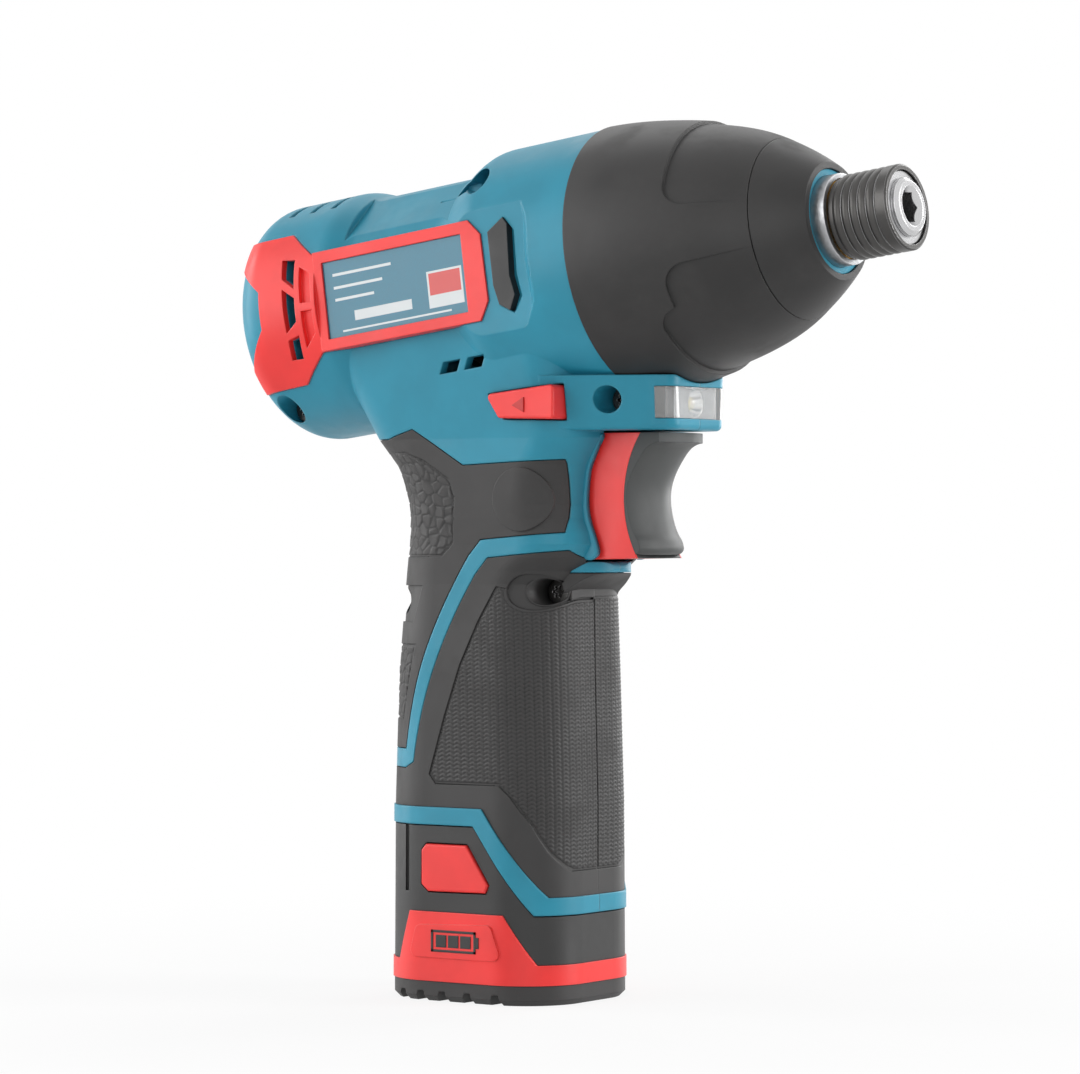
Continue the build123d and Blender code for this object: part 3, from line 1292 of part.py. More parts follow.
def sleeve_form():
    """The quick-release sleeve: round ribs outside, ball land and spring chamber inside."""
    valley = SLEEVE_R - SLEEVE_RIB_DEPTH
    pitch = (SLEEVE_RIB_END - SLEEVE_RIB_START) / SLEEVE_RIBS
    edges = [Polyline((SLEEVE_REAR, SLEEVE_RELIEF_R), (SLEEVE_REAR, valley), (SLEEVE_RIB_START, valley))]
    for rib in range(SLEEVE_RIBS):
        left = SLEEVE_RIB_START + pitch * rib
        edges.append(ThreePointArc((left, valley), (left + pitch / 2, SLEEVE_R), (left + pitch, valley)))
    land_r = TIP_R + RUN
    edges.append(Polyline(
        (SLEEVE_RIB_END, valley), (SLEEVE_RIB_END + SLEEVE_RIB_DEPTH, SLEEVE_R),
        (SLEEVE_FRONT - SLEEVE_EDGE, SLEEVE_R), (SLEEVE_FRONT, SLEEVE_R - SLEEVE_EDGE),
        (SLEEVE_FRONT, SLEEVE_CHAMBER_R), (SLEEVE_LAND_FRONT, SLEEVE_CHAMBER_R),
        (SLEEVE_LAND_FRONT, land_r), (SLEEVE_LAND_REAR, land_r), (SLEEVE_LAND_REAR, SLEEVE_RELIEF_R),
        (SLEEVE_REAR, SLEEVE_RELIEF_R),
    ))
    return turned(*edges)


def pad_form():
    """The finger pad's outside, turned about an upright axis: hollow top to bottom, round across."""
    low = TRIGGER_LOW
    ledge = (PAD_TOP_R, TRIGGER_HIGH - PAD_LEDGE)
    face = [(radius, low + height) for radius, height in PAD_FACE]
    tip = (PAD_TIP[0], low + PAD_TIP[1])
    toe = (PAD_TOE[0], low + PAD_TOE[1])
    outline = Curve() + [
        Polyline((0, toe[1]), (0, TRIGGER_HIGH), (PAD_TOP_R, TRIGGER_HIGH), ledge),
        Spline(ledge, *face, tip, tangents=((-1, -0.1), (0.25, -1))),
        TangentArc(tip, toe, tangent=(0.25, -1)),
        Line(toe, (0, toe[1])),
    ]
    return Pos(PAD_AXIS_X, 0, 0) * revolve(Plane.XZ * make_face(outline), Axis.Z)


def trigger_parts():
    """Red trigger shell with its plunger, grey finger pad, return spring and switch."""
    half = TRIGGER_WIDTH / 2
    top = (BORDER_HIGH_X, TRIGGER_HIGH)
    low = (BORDER_LOW_X, TRIGGER_LOW + BORDER_STEP)
    border = (top, (BORDER_MIDDLE_X, (TRIGGER_LOW + TRIGGER_HIGH) / 2), low)
    back = [(TRIGGER_BACK, TRIGGER_LOW), (TRIGGER_BACK, TRIGGER_HIGH)]
    shell = prism(Curve() + [ThreePointArc(*border), Polyline(low, *back, top)], -half, half)
    plunger = Cylinder(PLUNGER_R, TRIGGER_BACK - PLUNGER_TIP, align=LOW)
    shell += Pos(PLUNGER_TIP, 0, PLUNGER_Z) * Rot(0, 90, 0) * plunger
    front = [(SIDE, TRIGGER_HIGH), (SIDE, low[1]), low]
    pad = prism(Curve() + [ThreePointArc(*border), Polyline(top, *front)], -half, half) & pad_form()
    across = (-SWITCH_WIDTH / 2, SWITCH_WIDTH / 2)
    switch = block((SWITCH_BACK, SWITCH_FRONT), across, (SWITCH_LOW, SWITCH_HIGH))
    bore_end = PLUNGER_TIP - TRIGGER_TRAVEL - PLUNGER_SPARE
    switch -= Pos(bore_end, 0, PLUNGER_Z) * Rot(0, 90, 0) * Cylinder(PLUNGER_R + RUN, SIDE, align=LOW)
    spring_r = PLUNGER_R + 2 * TRIGGER_WIRE_R + SEAT
    spring = coil(spring_r, TRIGGER_WIRE_R, SWITCH_FRONT, TRIGGER_BACK, TRIGGER_SPRING_TURNS)
    return {
        "trigger_shell": shell,
        "trigger_pad": pad,
        "trigger_spring": Pos(0, 0, PLUNGER_Z) * spring,
        "switch_body": switch,
    }


def selector_parts():
    """The direction selector: one bar across the housing that stands out at both sides."""
    middle = sum(z for x, z in selector_outline()) / len(selector_outline())
    share = (middle - HEAD_Z) / (SADDLE_Z - HEAD_Z)
    reach = (GRIP_WIDTH + (SADDLE_WIDTH - GRIP_WIDTH) * share) / 2 + SELECTOR_PROUD
    bar = prism(selector_outline(), -reach, reach, SELECTOR_ROUND)
    ends = bar.edges().group_by(Axis.Y)
    return {"direction_selector": fillet(ends[0] + ends[-1], SELECTOR_EDGE)}


def battery_parts():
    """Stick battery: shell with cells, contacts, red skirt, rubber foot and release buttons."""
    above_foot = block((-SIDE, SIDE), (-SIDE, SIDE), (FOOT_HEIGHT, 2 * SIDE))
    above_floor = block((-SIDE, SIDE), (-SIDE, SIDE), (CELL_FLOOR, SIDE))
    base = handle_form() & below_seam(MOVE_GAP) & above_foot
    skirt_hull = handle_form(SKIRT_PROUD) & wide_prism(skirt_outline())
    skirt = skirt_hull - (handle_form(-SKIRT_SKIN) & above_floor)
    raised = wide_prism(skirt_panel_outline(), 0, SKIRT_PANEL_ROUND)
    skirt += (handle_form(SKIRT_PROUD + SKIRT_PANEL_PROUD) - handle_form(0)) & raised
    shell = base - skirt_hull
    shell += handle_form(-SKIRT_SKIN - SEAT / 2) & base & above_floor
    stick = RectangleRounded(STICK_DEPTH, STICK_WIDTH, STICK_CORNER)
    shell += extrude(Pos(0, 0, CELL_FLOOR) * stick, STICK_TOP - CELL_FLOOR)
    head = RectangleRounded(HEAD_DEPTH, HEAD_WIDTH, HEAD_CORNER)
    shell += extrude(Pos(0, 0, STICK_TOP - STICK_WALL) * head, HEAD_RISE + STICK_WALL)
    spots = [(-PACK_PITCH / 2, -PACK_RISE / 2), (PACK_PITCH / 2, -PACK_RISE / 2), (0, PACK_RISE / 2)]
    cells = []
    for x, y in spots:
        shell -= Pos(x, y, CELL_FLOOR) * Cylinder(CELL_R + SEAT / 2, CELL_LENGTH, align=LOW)
        cells.append((Pos(x, y, CELL_FLOOR) * Cylinder(CELL_R, CELL_LENGTH, align=LOW)).solid())
    slot_floor = HEAD_TOP - BLADE_LENGTH - CONTACT_FLOOR
    half = BLADE_WIDTH / 2 + SEAT
    side = CONTACT_SLOT / 2
    inner = side - CONTACT_LEAF
    thick = BLADE_THICK / 2
    wide = BLADE_WIDTH / 2
    clips, blades = [], []
    for x in CONTACTS_X:
        shell -= block((x - side, x + side), (-half, half), (slot_floor, HEAD_TOP + 1))
        clip = block((x - side, x + side), (-half, half), (slot_floor, HEAD_TOP - 1))
        clip -= block((x - inner, x + inner), (-half, half), (slot_floor + CONTACT_LEAF, HEAD_TOP))
        clips.append(clip.solid())
        upright = (BLOCK_LOW - BLADE_LENGTH, BLOCK_LOW)
        blades.append(block((x - thick, x + thick), (-wide, wide), upright).solid())
    nodes = {}
    face = handle_section(LATCH_Z).width / 2
    out, back = face + LATCH_PROUD, face + LATCH_PROUD - LATCH_THICK
    guide = (GUIDE_SLOT_X - GUIDE_SLOT_WIDTH / 2, GUIDE_SLOT_X + GUIDE_SLOT_WIDTH / 2)
    pocket = wide_prism(latch_outline(), MOVE_GAP)
    for name, sign in (("right", -1), ("left", 1)):
        button = prism(latch_outline(), *sorted((sign * out, sign * back)))
        rim = [e for e in button.edges() if abs(e.center().Y - sign * out) < SEAT]
        nodes[f"{name}_latch_button"] = fillet(rim, LATCH_EDGE)
        floor = back - LATCH_TRAVEL - SEAT
        shell -= pocket & block((-SIDE, SIDE), sorted((sign * floor, sign * SIDE)), (0, SIDE))
        slot = sorted((sign * (face - GUIDE_SLOT_DEPTH), sign * SIDE))
        shell -= block(guide, slot, (GUIDE_SLOT_LOW, SIDE)) & base
    foot = extrude(HANDLE[0].face(), FOOT_HEIGHT)
    foot = chamfer(foot.edges().group_by(Axis.Z)[0], FOOT_CHAMFER)
    for x in FOOT_GROOVES:
        left, right = x - FOOT_GROOVE_WIDTH / 2, x + FOOT_GROOVE_WIDTH / 2
        top_left, top_right = left + FOOT_GROOVE_SLANT, right - FOOT_GROOVE_SLANT
        top = [(top_right, FOOT_GROOVE_DEPTH), (top_left, FOOT_GROOVE_DEPTH)]
        foot -= wide_prism([(left, 0), (left, -1), (right, -1), (right, 0)] + top)
    deep = (-BLOCK_DEPTH / 2, BLOCK_DEPTH / 2)
    across = (-BLOCK_WIDTH / 2, BLOCK_WIDTH / 2)
    nodes.update({
        "battery_shell": shell,
        "battery_skirt": skirt,
        "battery_foot": foot,
        "battery_cells": Compound(cells),
        "battery_terminals": Compound(clips),
        "terminal_blades": Compound(blades),
        "terminal_block": block(deep, across, (BLOCK_LOW, BLOCK_HIGH)),
    })
    return nodes


def main():
    """Build every piece and write one file for each."""
    os.makedirs("parts", exist_ok=True)
    groups = (
        housing_parts, light_parts, case_parts, motor_parts, gear_parts,
        impact_parts, trigger_parts, selector_parts, battery_parts,
    )
    for group in groups:
        for name, shape in group().items():
            export_step(shape, f"parts/{name}.step")


if __name__ == "__main__":
    main()
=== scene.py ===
import logging
import math
from dataclasses import dataclass, replace
from enum import Enum, auto
from typing import Any, Callable, NamedTuple, Sequence

import bmesh
import bpy
import numpy as np
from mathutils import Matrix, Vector


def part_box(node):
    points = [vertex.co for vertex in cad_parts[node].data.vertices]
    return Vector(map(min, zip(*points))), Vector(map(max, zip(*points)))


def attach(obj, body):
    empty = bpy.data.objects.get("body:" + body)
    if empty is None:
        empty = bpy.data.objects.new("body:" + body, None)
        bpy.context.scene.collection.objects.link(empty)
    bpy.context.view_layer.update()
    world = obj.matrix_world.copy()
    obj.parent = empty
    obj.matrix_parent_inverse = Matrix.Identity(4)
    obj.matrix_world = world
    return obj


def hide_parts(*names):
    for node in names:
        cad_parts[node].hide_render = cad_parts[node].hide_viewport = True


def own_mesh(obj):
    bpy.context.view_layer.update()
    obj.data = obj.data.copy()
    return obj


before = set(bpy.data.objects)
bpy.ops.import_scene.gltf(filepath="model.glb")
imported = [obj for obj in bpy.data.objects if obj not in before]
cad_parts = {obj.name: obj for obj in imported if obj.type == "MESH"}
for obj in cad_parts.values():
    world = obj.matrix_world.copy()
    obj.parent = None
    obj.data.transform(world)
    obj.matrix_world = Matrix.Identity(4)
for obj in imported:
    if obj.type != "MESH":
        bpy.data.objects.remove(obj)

logging.basicConfig(level=logging.INFO, format="%(message)s")
LOG = logging.getLogger("screwdriver")

Pair = tuple[float, float]
Corners = tuple[Pair, ...]
Point = tuple[float, float, float]
Colour = tuple[float, float, float]
Four = tuple[float, float, float, float]
Array = np.ndarray
Piece = bpy.types.Object
Tree = bpy.types.NodeTree
Socket = bpy.types.NodeSocket
Outputs = bpy.types.bpy_prop_collection

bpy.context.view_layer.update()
MM = 0.001
BARREL_POINT = (8.4, 0.0, 164.7)
BARREL_PITCH = math.radians(7.4)
SIDES = {"right": -1.0, "left": 1.0}
BEYOND = 120.0
MERGE = 1e-7
DRAW_U, DRAW_V, DRAW_SPREAD, DRAW_OTHER, DRAW_TILT = 12.9898, 78.233, 43758.5453, 57.31, 91.7
RELIEF = "relief"
PRINT_SOFT = 0.05
WHITE = (1.0, 1.0, 1.0, 1.0)


def linear(code: str) -> Colour:
    """The linear light of a display colour, given as six hexadecimal digits."""
    channels = [value / 255 for value in bytes.fromhex(code)]
    return tuple(c / 12.92 if c <= 0.04045 else ((c + 0.055) / 1.055) ** 2.4 for c in channels)


def rgba(colour: Colour, share: float = 1.0) -> Four:
    """A colour as a socket value, dimmed or lifted by a share."""
    return (*(min(1.0, c * share) for c in colour), 1.0)


class Space(Enum):
    """The frame in which a finish lays out its pattern."""

    TOOL = auto()
    BARREL = auto()


class Wear(Enum):
    """Where handling shows on a moulded piece."""

    EDGES = auto()
    DUST = auto()


class Graph:
    """A node tree under construction."""

    def __init__(self, tree: Tree) -> None:
        """Keep the tree that the nodes go into."""
        self.tree = tree

    @classmethod
    def emptied(cls, owner: bpy.types.ID) -> "Graph":
        """The cleared tree of a material or world."""
        owner.use_nodes = True
        owner.node_tree.nodes.clear()
        return cls(owner.node_tree)

    def feed(self, socket: Socket, value: Any) -> None:
        """Link another socket to a socket, or set a value on it."""
        if isinstance(value, bpy.types.NodeSocket):
            self.tree.links.new(value, socket)
        else:
            socket.default_value = value

    def node(self, kind: str, inputs: dict[Any, Any] | None = None, **settings: Any) -> bpy.types.Node:
        """Add a shader node.

        Args:
            kind: the node's type.
            inputs: input names or numbers, each with a socket to link or a value to set.
            settings: properties of the node.

        Returns:
            The new node.
        """
        node = self.tree.nodes.new(f"ShaderNode{kind}")
        for name, value in settings.items():
            setattr(node, name, value)
        for key, value in (inputs or {}).items():
            self.feed(node.inputs[key], value)
        return node

    def math(self, operation: str, first: Any, second: Any = 0.0) -> Socket:
        """A sum, product or function of one or two values."""
        return self.node("Math", {0: first, 1: second}, operation=operation).outputs[0]

    def ramp(self, value: Any, span: Pair, ends: Pair = (0.0, 1.0)) -> Socket:
        """A value carried smoothly from a span to two ends and held there."""
        names = ("Value", "From Min", "From Max", "To Min", "To Max")
        sockets = dict(zip(names, (value, *span, *ends)))
        return self.node("MapRange", sockets, interpolation_type="SMOOTHSTEP").outputs["Result"]

    def past(self, value: Any, limit: float, soft: float = PRINT_SOFT) -> Socket:
        """Nought before a limit and one past it; a negative softness turns that round."""
        return self.ramp(value, (limit - soft, limit + soft))

    def tint(self, mask: Any, first: Any, second: Any) -> Socket:
        """The first colour, going over to the second where the mask is one."""
        node = self.node("Mix", data_type="RGBA")
        colours = [socket for socket in node.inputs if socket.type == "RGBA"]
        for socket, value in zip((node.inputs["Factor"], *colours), (mask, first, second)):
            self.feed(socket, value)
        return next(socket for socket in node.outputs if socket.type == "RGBA")

    def noise(self, vector: Socket, scale: Any, detail: float, **more: float) -> Socket:
        """Noise over a vector, with further inputs by name."""
        sockets = {"Vector": vector, "Scale": scale, "Detail": detail}
        return self.node("TexNoise", sockets | {k.capitalize(): v for k, v in more.items()}).outputs[0]

    def place(self, space: Space) -> Socket:
        """Object coordinates in millimetres, in the tool's frame or along the barrel axis."""
        sockets: dict[str, Any] = {"Vector": self.node("TexCoord").outputs["Object"], "Scale": (MM, MM, MM)}
        if space is Space.BARREL:
            sockets["Location"] = tuple(v * MM for v in BARREL_POINT)
            sockets["Rotation"] = (0.0, -BARREL_PITCH, 0.0)
        return self.node("Mapping", sockets, vector_type="TEXTURE").outputs["Vector"]

    def split(self, vector: Socket) -> list[Socket]:
        """The three parts of a vector."""
        return list(self.node("SeparateXYZ", {"Vector": vector}).outputs)

    def group(self, tree: Tree, **inputs: Any) -> Outputs:
        """The outputs of a shared effect with its own values."""
        return self.node("Group", {k.replace("_", " "): v for k, v in inputs.items()}, node_tree=tree).outputs


class Effects:
    """Shared effects, each a node group built once."""

    def __init__(self) -> None:
        """Build every group."""
        self.grain, self.smudge, self.edge = self._grain(), self._smudge(), self._edge()
        self.turned, self.field = self._turned(), self._field()

    @staticmethod
    def _open(name: str, **inputs: float | None) -> tuple[Graph, Outputs]:
        """Start a group.

        Args:
            name: the group's name.
            inputs: each input's default, or None for a vector; an underscore in its name is a space.

        Returns:
            The graph, and the inputs as sockets to link from.
        """
        tree = bpy.data.node_groups.new(name, "ShaderNodeTree")
        for label, default in inputs.items():
            kind = "NodeSocketVector" if default is None else "NodeSocketFloat"
            socket = tree.interface.new_socket(label.replace("_", " "), in_out="INPUT", socket_type=kind)
            if default is not None:
                socket.default_value = default
        return Graph(tree), tree.nodes.new("NodeGroupInput").outputs

    @staticmethod
    def _close(graph: Graph, **results: Socket) -> Tree:
        """Give a group its outputs.

        Args:
            graph: the group's graph.
            results: the socket that each output passes on.

        Returns:
            The finished group.
        """
        for label, socket in results.items():
            kind = "NodeSocketVector" if socket.type == "VECTOR" else "NodeSocketFloat"
            graph.tree.interface.new_socket(label, in_out="OUTPUT", socket_type=kind)
        leave = graph.tree.nodes.new("NodeGroupOutput")
        for label, socket in results.items():
            graph.feed(leave.inputs[label], socket)
        return graph.tree

    def _grain(self) -> Tree:
        """Spark-eroded grain of a mould: fine noise for relief, broad noise for tone."""
        graph, given = self._open("fine_grain", Vector=None, Scale=3.0)
        fine = graph.noise(given["Vector"], given["Scale"], detail=2.0, roughness=0.6)
        broad = graph.noise(given["Vector"], scale=0.09, detail=3.0)
        return self._close(graph, Height=fine, Tone=graph.ramp(broad, span=(0.3, 0.7)))

    def _smudge(self) -> Tree:
        """Marks of handling: wide patches broken up by short streaks."""
        graph, given = self._open("handling", Vector=None)
        patch = graph.noise(given["Vector"], scale=0.05, detail=4.0, distortion=0.8)
        streak = graph.noise(given["Vector"], scale=0.4, detail=5.0)
        return self._close(graph, Mask=graph.math("MULTIPLY", graph.ramp(patch, span=(0.35, 0.7)), streak))

    def _edge(self) -> Tree:
        """Rounded edges: the normal bent over a radius, and a mask of where it bends."""
        graph, given = self._open("soft_edge", Radius=0.0003)
        bent = graph.node("Bevel", {"Radius": given["Radius"]}, samples=6).outputs["Normal"]
        true = graph.node("NewGeometry").outputs["Normal"]
        match = graph.node("VectorMath", {0: bent, 1: true}, operation="DOT_PRODUCT").outputs["Value"]
        return self._close(graph, Normal=bent, Edge=graph.ramp(match, span=(0.99, 0.8)))

    def _turned(self) -> Tree:
        """Lathe marks: noise that changes along the axis alone."""
        graph, given = self._open("turned", Station=0.0, Pitch=0.12)
        line = graph.math("DIVIDE", given["Station"], given["Pitch"])
        mark = graph.node("TexNoise", {"W": line, "Scale": 1.0, "Detail": 2.0}, noise_dimensions="1D")
        return self._close(graph, Height=mark.outputs[0])

    def _field(self) -> Tree:
        """A rectangle printed on a plate: one inside it, nought outside."""
        graph, given = self._open("printed_field", U=0.0, V=0.0, Middle_U=0.0, Middle_V=0.0, Half_U=1.0,
                                  Half_V=1.0)
        sides = []
        for name in ("U", "V"):
            off = graph.math("ABSOLUTE", graph.math("SUBTRACT", given[name], given[f"Middle {name}"]))
            sides.append(graph.math("SUBTRACT", given[f"Half {name}"], off))
        return self._close(graph, Mask=graph.past(graph.math("MINIMUM", *sides), limit=0.0, soft=0.04))


FX = Effects()


class Skin(NamedTuple):
    """What a finish links to its shader, and the relief's height with its depth in millimetres."""

    colour: Any
    gloss: Any
    height: Socket
    depth: float


@dataclass(frozen=True)
class Finish:
    """What every finish has.

    Tones are shares of its colour. Sheen is what a value adds to its roughness at the ends of a span.
    """

    name: str
    colour: Colour
    roughness: float
    space: Space = Space.TOOL
    edge_radius: float = 0.3
    tones: Pair = (1.0, 1.0)
    span: Pair = (0.3, 0.7)
    sheen: Pair = (0.0, 0.0)
    specular: float = 0.5
    metallic: float = 0.0
    coat: float = 0.0
    clear: float = 0.0
    ior: float = 1.5

    def material(self) -> bpy.types.Material:
        """Build the material.

        Returns:
            A node material with one Principled shader, the finish's skin and a bump over rounded edges.
        """
        made = bpy.data.materials.new(self.name)
        graph = Graph.emptied(made)
        edge = graph.group(FX.edge, Radius=self.edge_radius * MM)
        skin = self.skin(graph, graph.place(self.space), edge["Edge"])
        bump = graph.node("Bump", {"Height": skin.height, "Distance": skin.depth * MM, "Strength": 1.0,
                                   "Normal": edge["Normal"]})
        shader = graph.node("BsdfPrincipled", {
            "Base Color": skin.colour, "Roughness": skin.gloss, "Normal": bump.outputs["Normal"],
            "Specular IOR Level": self.specular, "Metallic": self.metallic, "Coat Weight": self.coat,
            "Transmission Weight": self.clear, "IOR": self.ior})
        graph.node("OutputMaterial", {"Surface": shader.outputs[0]})
        return made

    def skin(self, graph: Graph, place: Socket, edge: Socket) -> Skin:
        """Lay out the finish's pattern.

        Args:
            graph: the material's tree.
            place: coordinates in millimetres.
            edge: the mask of the rounded edges.

        Returns:
            Colour, gloss and relief.
        """
        raise NotImplementedError

    def toned(self, graph: Graph, mask: Any) -> Socket:
        """The colour between the finish's two tones."""
        return graph.tint(mask, *(rgba(self.colour, tone) for tone in self.tones))

    def glossed(self, graph: Graph, value: Any) -> Socket:
        """Roughness that follows a value over the finish's span."""
        return graph.ramp(value, self.span, tuple(self.roughness + added for added in self.sheen))


@dataclass(frozen=True)
class Moulded(Finish):
    """Moulded plastic: fine grain, slow change of tone, worn edges or dust, uneven gloss from handling."""

    tones: Pair = (0.94, 1.05)
    span: Pair = (0.0, 0.6)
    sheen: Pair = (0.05, -0.06)
    specular: float = 0.4
    grain: float = 3.2
    grain_depth: float = 0.012
    worn: Colour = (0.6, 0.6, 0.6)
    wear: float = 0.18
    wears: Wear = Wear.EDGES
    parting: float = 0.0
    parting_core: float = 0.4
    parting_weight: float = 0.85
    parting_shade: float = 0.12

    def skin(self, graph: Graph, place: Socket, edge: Socket) -> Skin:
        """Grain, tone, wear and handling marks."""
        grain = graph.group(FX.grain, Vector=place, Scale=self.grain)
        marks = graph.group(FX.smudge, Vector=place)["Mask"]
        rubbed = graph.math("MULTIPLY", edge if self.wears is Wear.EDGES else marks, self.wear)
        worn = graph.tint(rubbed, self.toned(graph, grain["Tone"]), rgba(self.worn))
        colour = self.marked(graph, place, worn)
        return Skin(colour, self.glossed(graph, marks), grain["Height"], self.grain_depth)

    def marked(self, graph: Graph, place: Socket, colour: Socket) -> Socket:
        """A colour with the dark line where the two moulded halves meet, if the finish has one."""
        if not self.parting:
            return colour
        off = graph.math("ABSOLUTE", graph.split(place)[1])
        line = graph.ramp(off, (self.parting, self.parting * self.parting_core), (0.0, self.parting_weight))
        return graph.tint(line, colour, rgba(self.colour, self.parting_shade))


@dataclass(frozen=True)
class TriggerPlastic(Moulded):
    """Moulded plastic that goes over to the pad's tone on the toe under the pad."""

    toe: Colour = (0.045, 0.048, 0.048)
    toe_x: float = 37.0
    toe_z: float = 101.75
    toe_half: float = 8.9

    def marked(self, graph: Graph, place: Socket, colour: Socket) -> Socket:
        """The plastic's colour, with the toe's tone past a station, under a height and between the sides."""
        x, y, z = graph.split(place)
        under = graph.math("MULTIPLY", graph.past(x, self.toe_x), graph.past(z, self.toe_z, -PRINT_SOFT))
        between = graph.past(graph.math("ABSOLUTE", y), self.toe_half, -PRINT_SOFT)
        return graph.tint(graph.math("MULTIPLY", under, between), colour, rgba(self.toe))


@dataclass(frozen=True)
class Rubber(Moulded):
    """Matt rubber: fine stipple and dust."""

    tones: Pair = (0.92, 1.08)
    sheen: Pair = (-0.05, 0.08)
    specular: float = 0.45
    grain: float = 4.5
    grain_depth: float = 0.018
    worn: Colour = (0.2, 0.195, 0.19)
    wear: float = 0.10
    wears: Wear = Wear.DUST


@dataclass(frozen=True)
class ReliefRubber(Rubber):
    """Rubber of a textured field, with painted shade in the hollows of its own relief and a painted highlight
    on its crests.
    """

    hollow_painted_shade: float = 0.35
    hollow_painted_shade_span: Pair = (0.55, 0.05)
    crest_painted_highlight: float = 1.25
    crest_painted_highlight_span: Pair = (0.6, 1.0)
    crest_painted_highlight_weight: float = 0.5

    def skin(self, graph: Graph, place: Socket, edge: Socket) -> Skin:
        """The rubber skin, with painted shade and a painted highlight by the height that each point of the
        piece carries.
        """
        skin = super().skin(graph, place, edge)
        rise = graph.node("Attribute", attribute_name=RELIEF).outputs["Fac"]
        # Painted shade where the relief is low, a painted highlight where it is high.
        low = graph.ramp(rise, self.hollow_painted_shade_span)
        high = graph.math("MULTIPLY", graph.ramp(rise, self.crest_painted_highlight_span), self.crest_painted_highlight_weight)
        shaded = graph.tint(low, skin.colour, rgba(self.colour, self.hollow_painted_shade))
        return skin._replace(colour=graph.tint(high, shaded, rgba(self.colour, self.crest_painted_highlight)))


@dataclass(frozen=True)
class PlateFoil(Finish):
    """Bare rating plate: foil with ruled lines and blank fields. A field is its middle and its half sizes."""

    tones: Pair = (0.9, 1.1)
    sheen: Pair = (-0.04, 0.05)
    coat: float = 0.25
    grain: float = 2.2
    grain_depth: float = 0.004
    paper: Colour = (0.62, 0.66, 0.67)
    accent: Colour = (0.6, 0.05, 0.045)
    fields: tuple[Four, ...] = ()
    accent_fields: tuple[Four, ...] = ()

    def printed(self, graph: Graph, place: Socket, fields: Sequence[Four]) -> Socket:
        """The mask of all fields of one colour."""
        station, _, height = graph.split(place)
        whole = None
        for u, v, half_u, half_v in fields:
            mask = graph.group(FX.field, U=station, V=height, Middle_U=u, Middle_V=v, Half_U=half_u,
                               Half_V=half_v)["Mask"]
            whole = mask if whole is None else graph.math("MAXIMUM", whole, mask)
        return whole

    def skin(self, graph: Graph, place: Socket, edge: Socket) -> Skin:
        """The foil's fleck and the blank fields."""
        fleck = graph.group(FX.grain, Vector=place, Scale=self.grain)["Height"]
        foil = self.toned(graph, fleck)
        ruled = graph.tint(self.printed(graph, place, self.fields), foil, rgba(self.paper))
        colour = graph.tint(self.printed(graph, place, self.accent_fields), ruled, rgba(self.accent))
        return Skin(colour, self.glossed(graph, fleck), fleck, self.grain_depth)


@dataclass(frozen=True)
class TurnedMetal(Finish):
    """Metal turned or ground about the barrel axis."""

    space: Space = Space.BARREL
    tones: Pair = (1.0, 0.45)
    sheen: Pair = (-0.06, 0.08)
    metallic: float = 1.0
    pitch: float = 0.12
    mark_depth: float = 0.004
    stain: float = 0.25
    edge_light: float = 0.35
    rubbed: Colour = (0.75, 0.75, 0.76)

    def skin(self, graph: Graph, place: Socket, edge: Socket) -> Skin:
        """Lathe marks, stains and bright rubbed edges."""
        mark = graph.group(FX.turned, Station=graph.split(place)[0], Pitch=self.pitch)["Height"]
        stained = graph.math("MULTIPLY", graph.group(FX.smudge, Vector=place)["Mask"], self.stain)
        bright = graph.math("MULTIPLY", edge, self.edge_light)
        colour = graph.tint(bright, self.toned(graph, stained), rgba(self.rubbed))
        return Skin(colour, self.glossed(graph, mark), mark, self.mark_depth)


@dataclass(frozen=True)
class CastMetal(Finish):
    """Cast or sintered metal: grainy skin with a broad cloud of tone."""

    tones: Pair = (0.82, 1.1)
    sheen: Pair = (-0.08, 0.08)
    metallic: float = 1.0
    grain: float = 1.6
    grain_depth: float = 0.03

    def skin(self, graph: Graph, place: Socket, edge: Socket) -> Skin:
        """The cast skin."""
        grain = graph.group(FX.grain, Vector=place, Scale=self.grain)
        height = grain["Height"]
        return Skin(self.toned(graph, grain["Tone"]), self.glossed(graph, height), height, self.grain_depth)


@dataclass(frozen=True)
class Wound(Finish):
    """Lacquered copper wire on a laminated core: bright wire at the ends, sheets of steel between."""

    space: Space = Space.BARREL
    tones: Pair = (0.5, 1.0)
    metallic: float = 0.8
    core: Colour = (0.18, 0.18, 0.19)
    core_from: float = -48.0
    core_to: float = -26.0
    core_soft: float = 0.2
    wire_scale: float = 0.9
    wire_weight: float = 0.7
    sheet_pitch: float = 0.5
    sheet_weight: float = 0.3
    relief_depth: float = 0.08

    def skin(self, graph: Graph, place: Socket, edge: Socket) -> Skin:
        """Wire turns at both ends and the sheets of the core."""
        station = graph.split(place)[0]
        sockets = {"Vector": place, "Scale": self.wire_scale, "Distortion": 3.0, "Detail": 2.0}
        wire = graph.node("TexWave", sockets, bands_direction="DIAGONAL").outputs[1]
        sheet = graph.group(FX.turned, Station=station, Pitch=self.sheet_pitch)["Height"]
        on_core = graph.math("MULTIPLY", graph.past(station, self.core_from, self.core_soft),
                             graph.past(station, self.core_to, -self.core_soft))
        colour = graph.tint(on_core, self.toned(graph, wire), rgba(self.core))
        height = graph.math("ADD", graph.math("MULTIPLY", wire, self.wire_weight),
                            graph.math("MULTIPLY", sheet, self.sheet_weight))
        return Skin(colour, self.roughness, height, self.relief_depth)


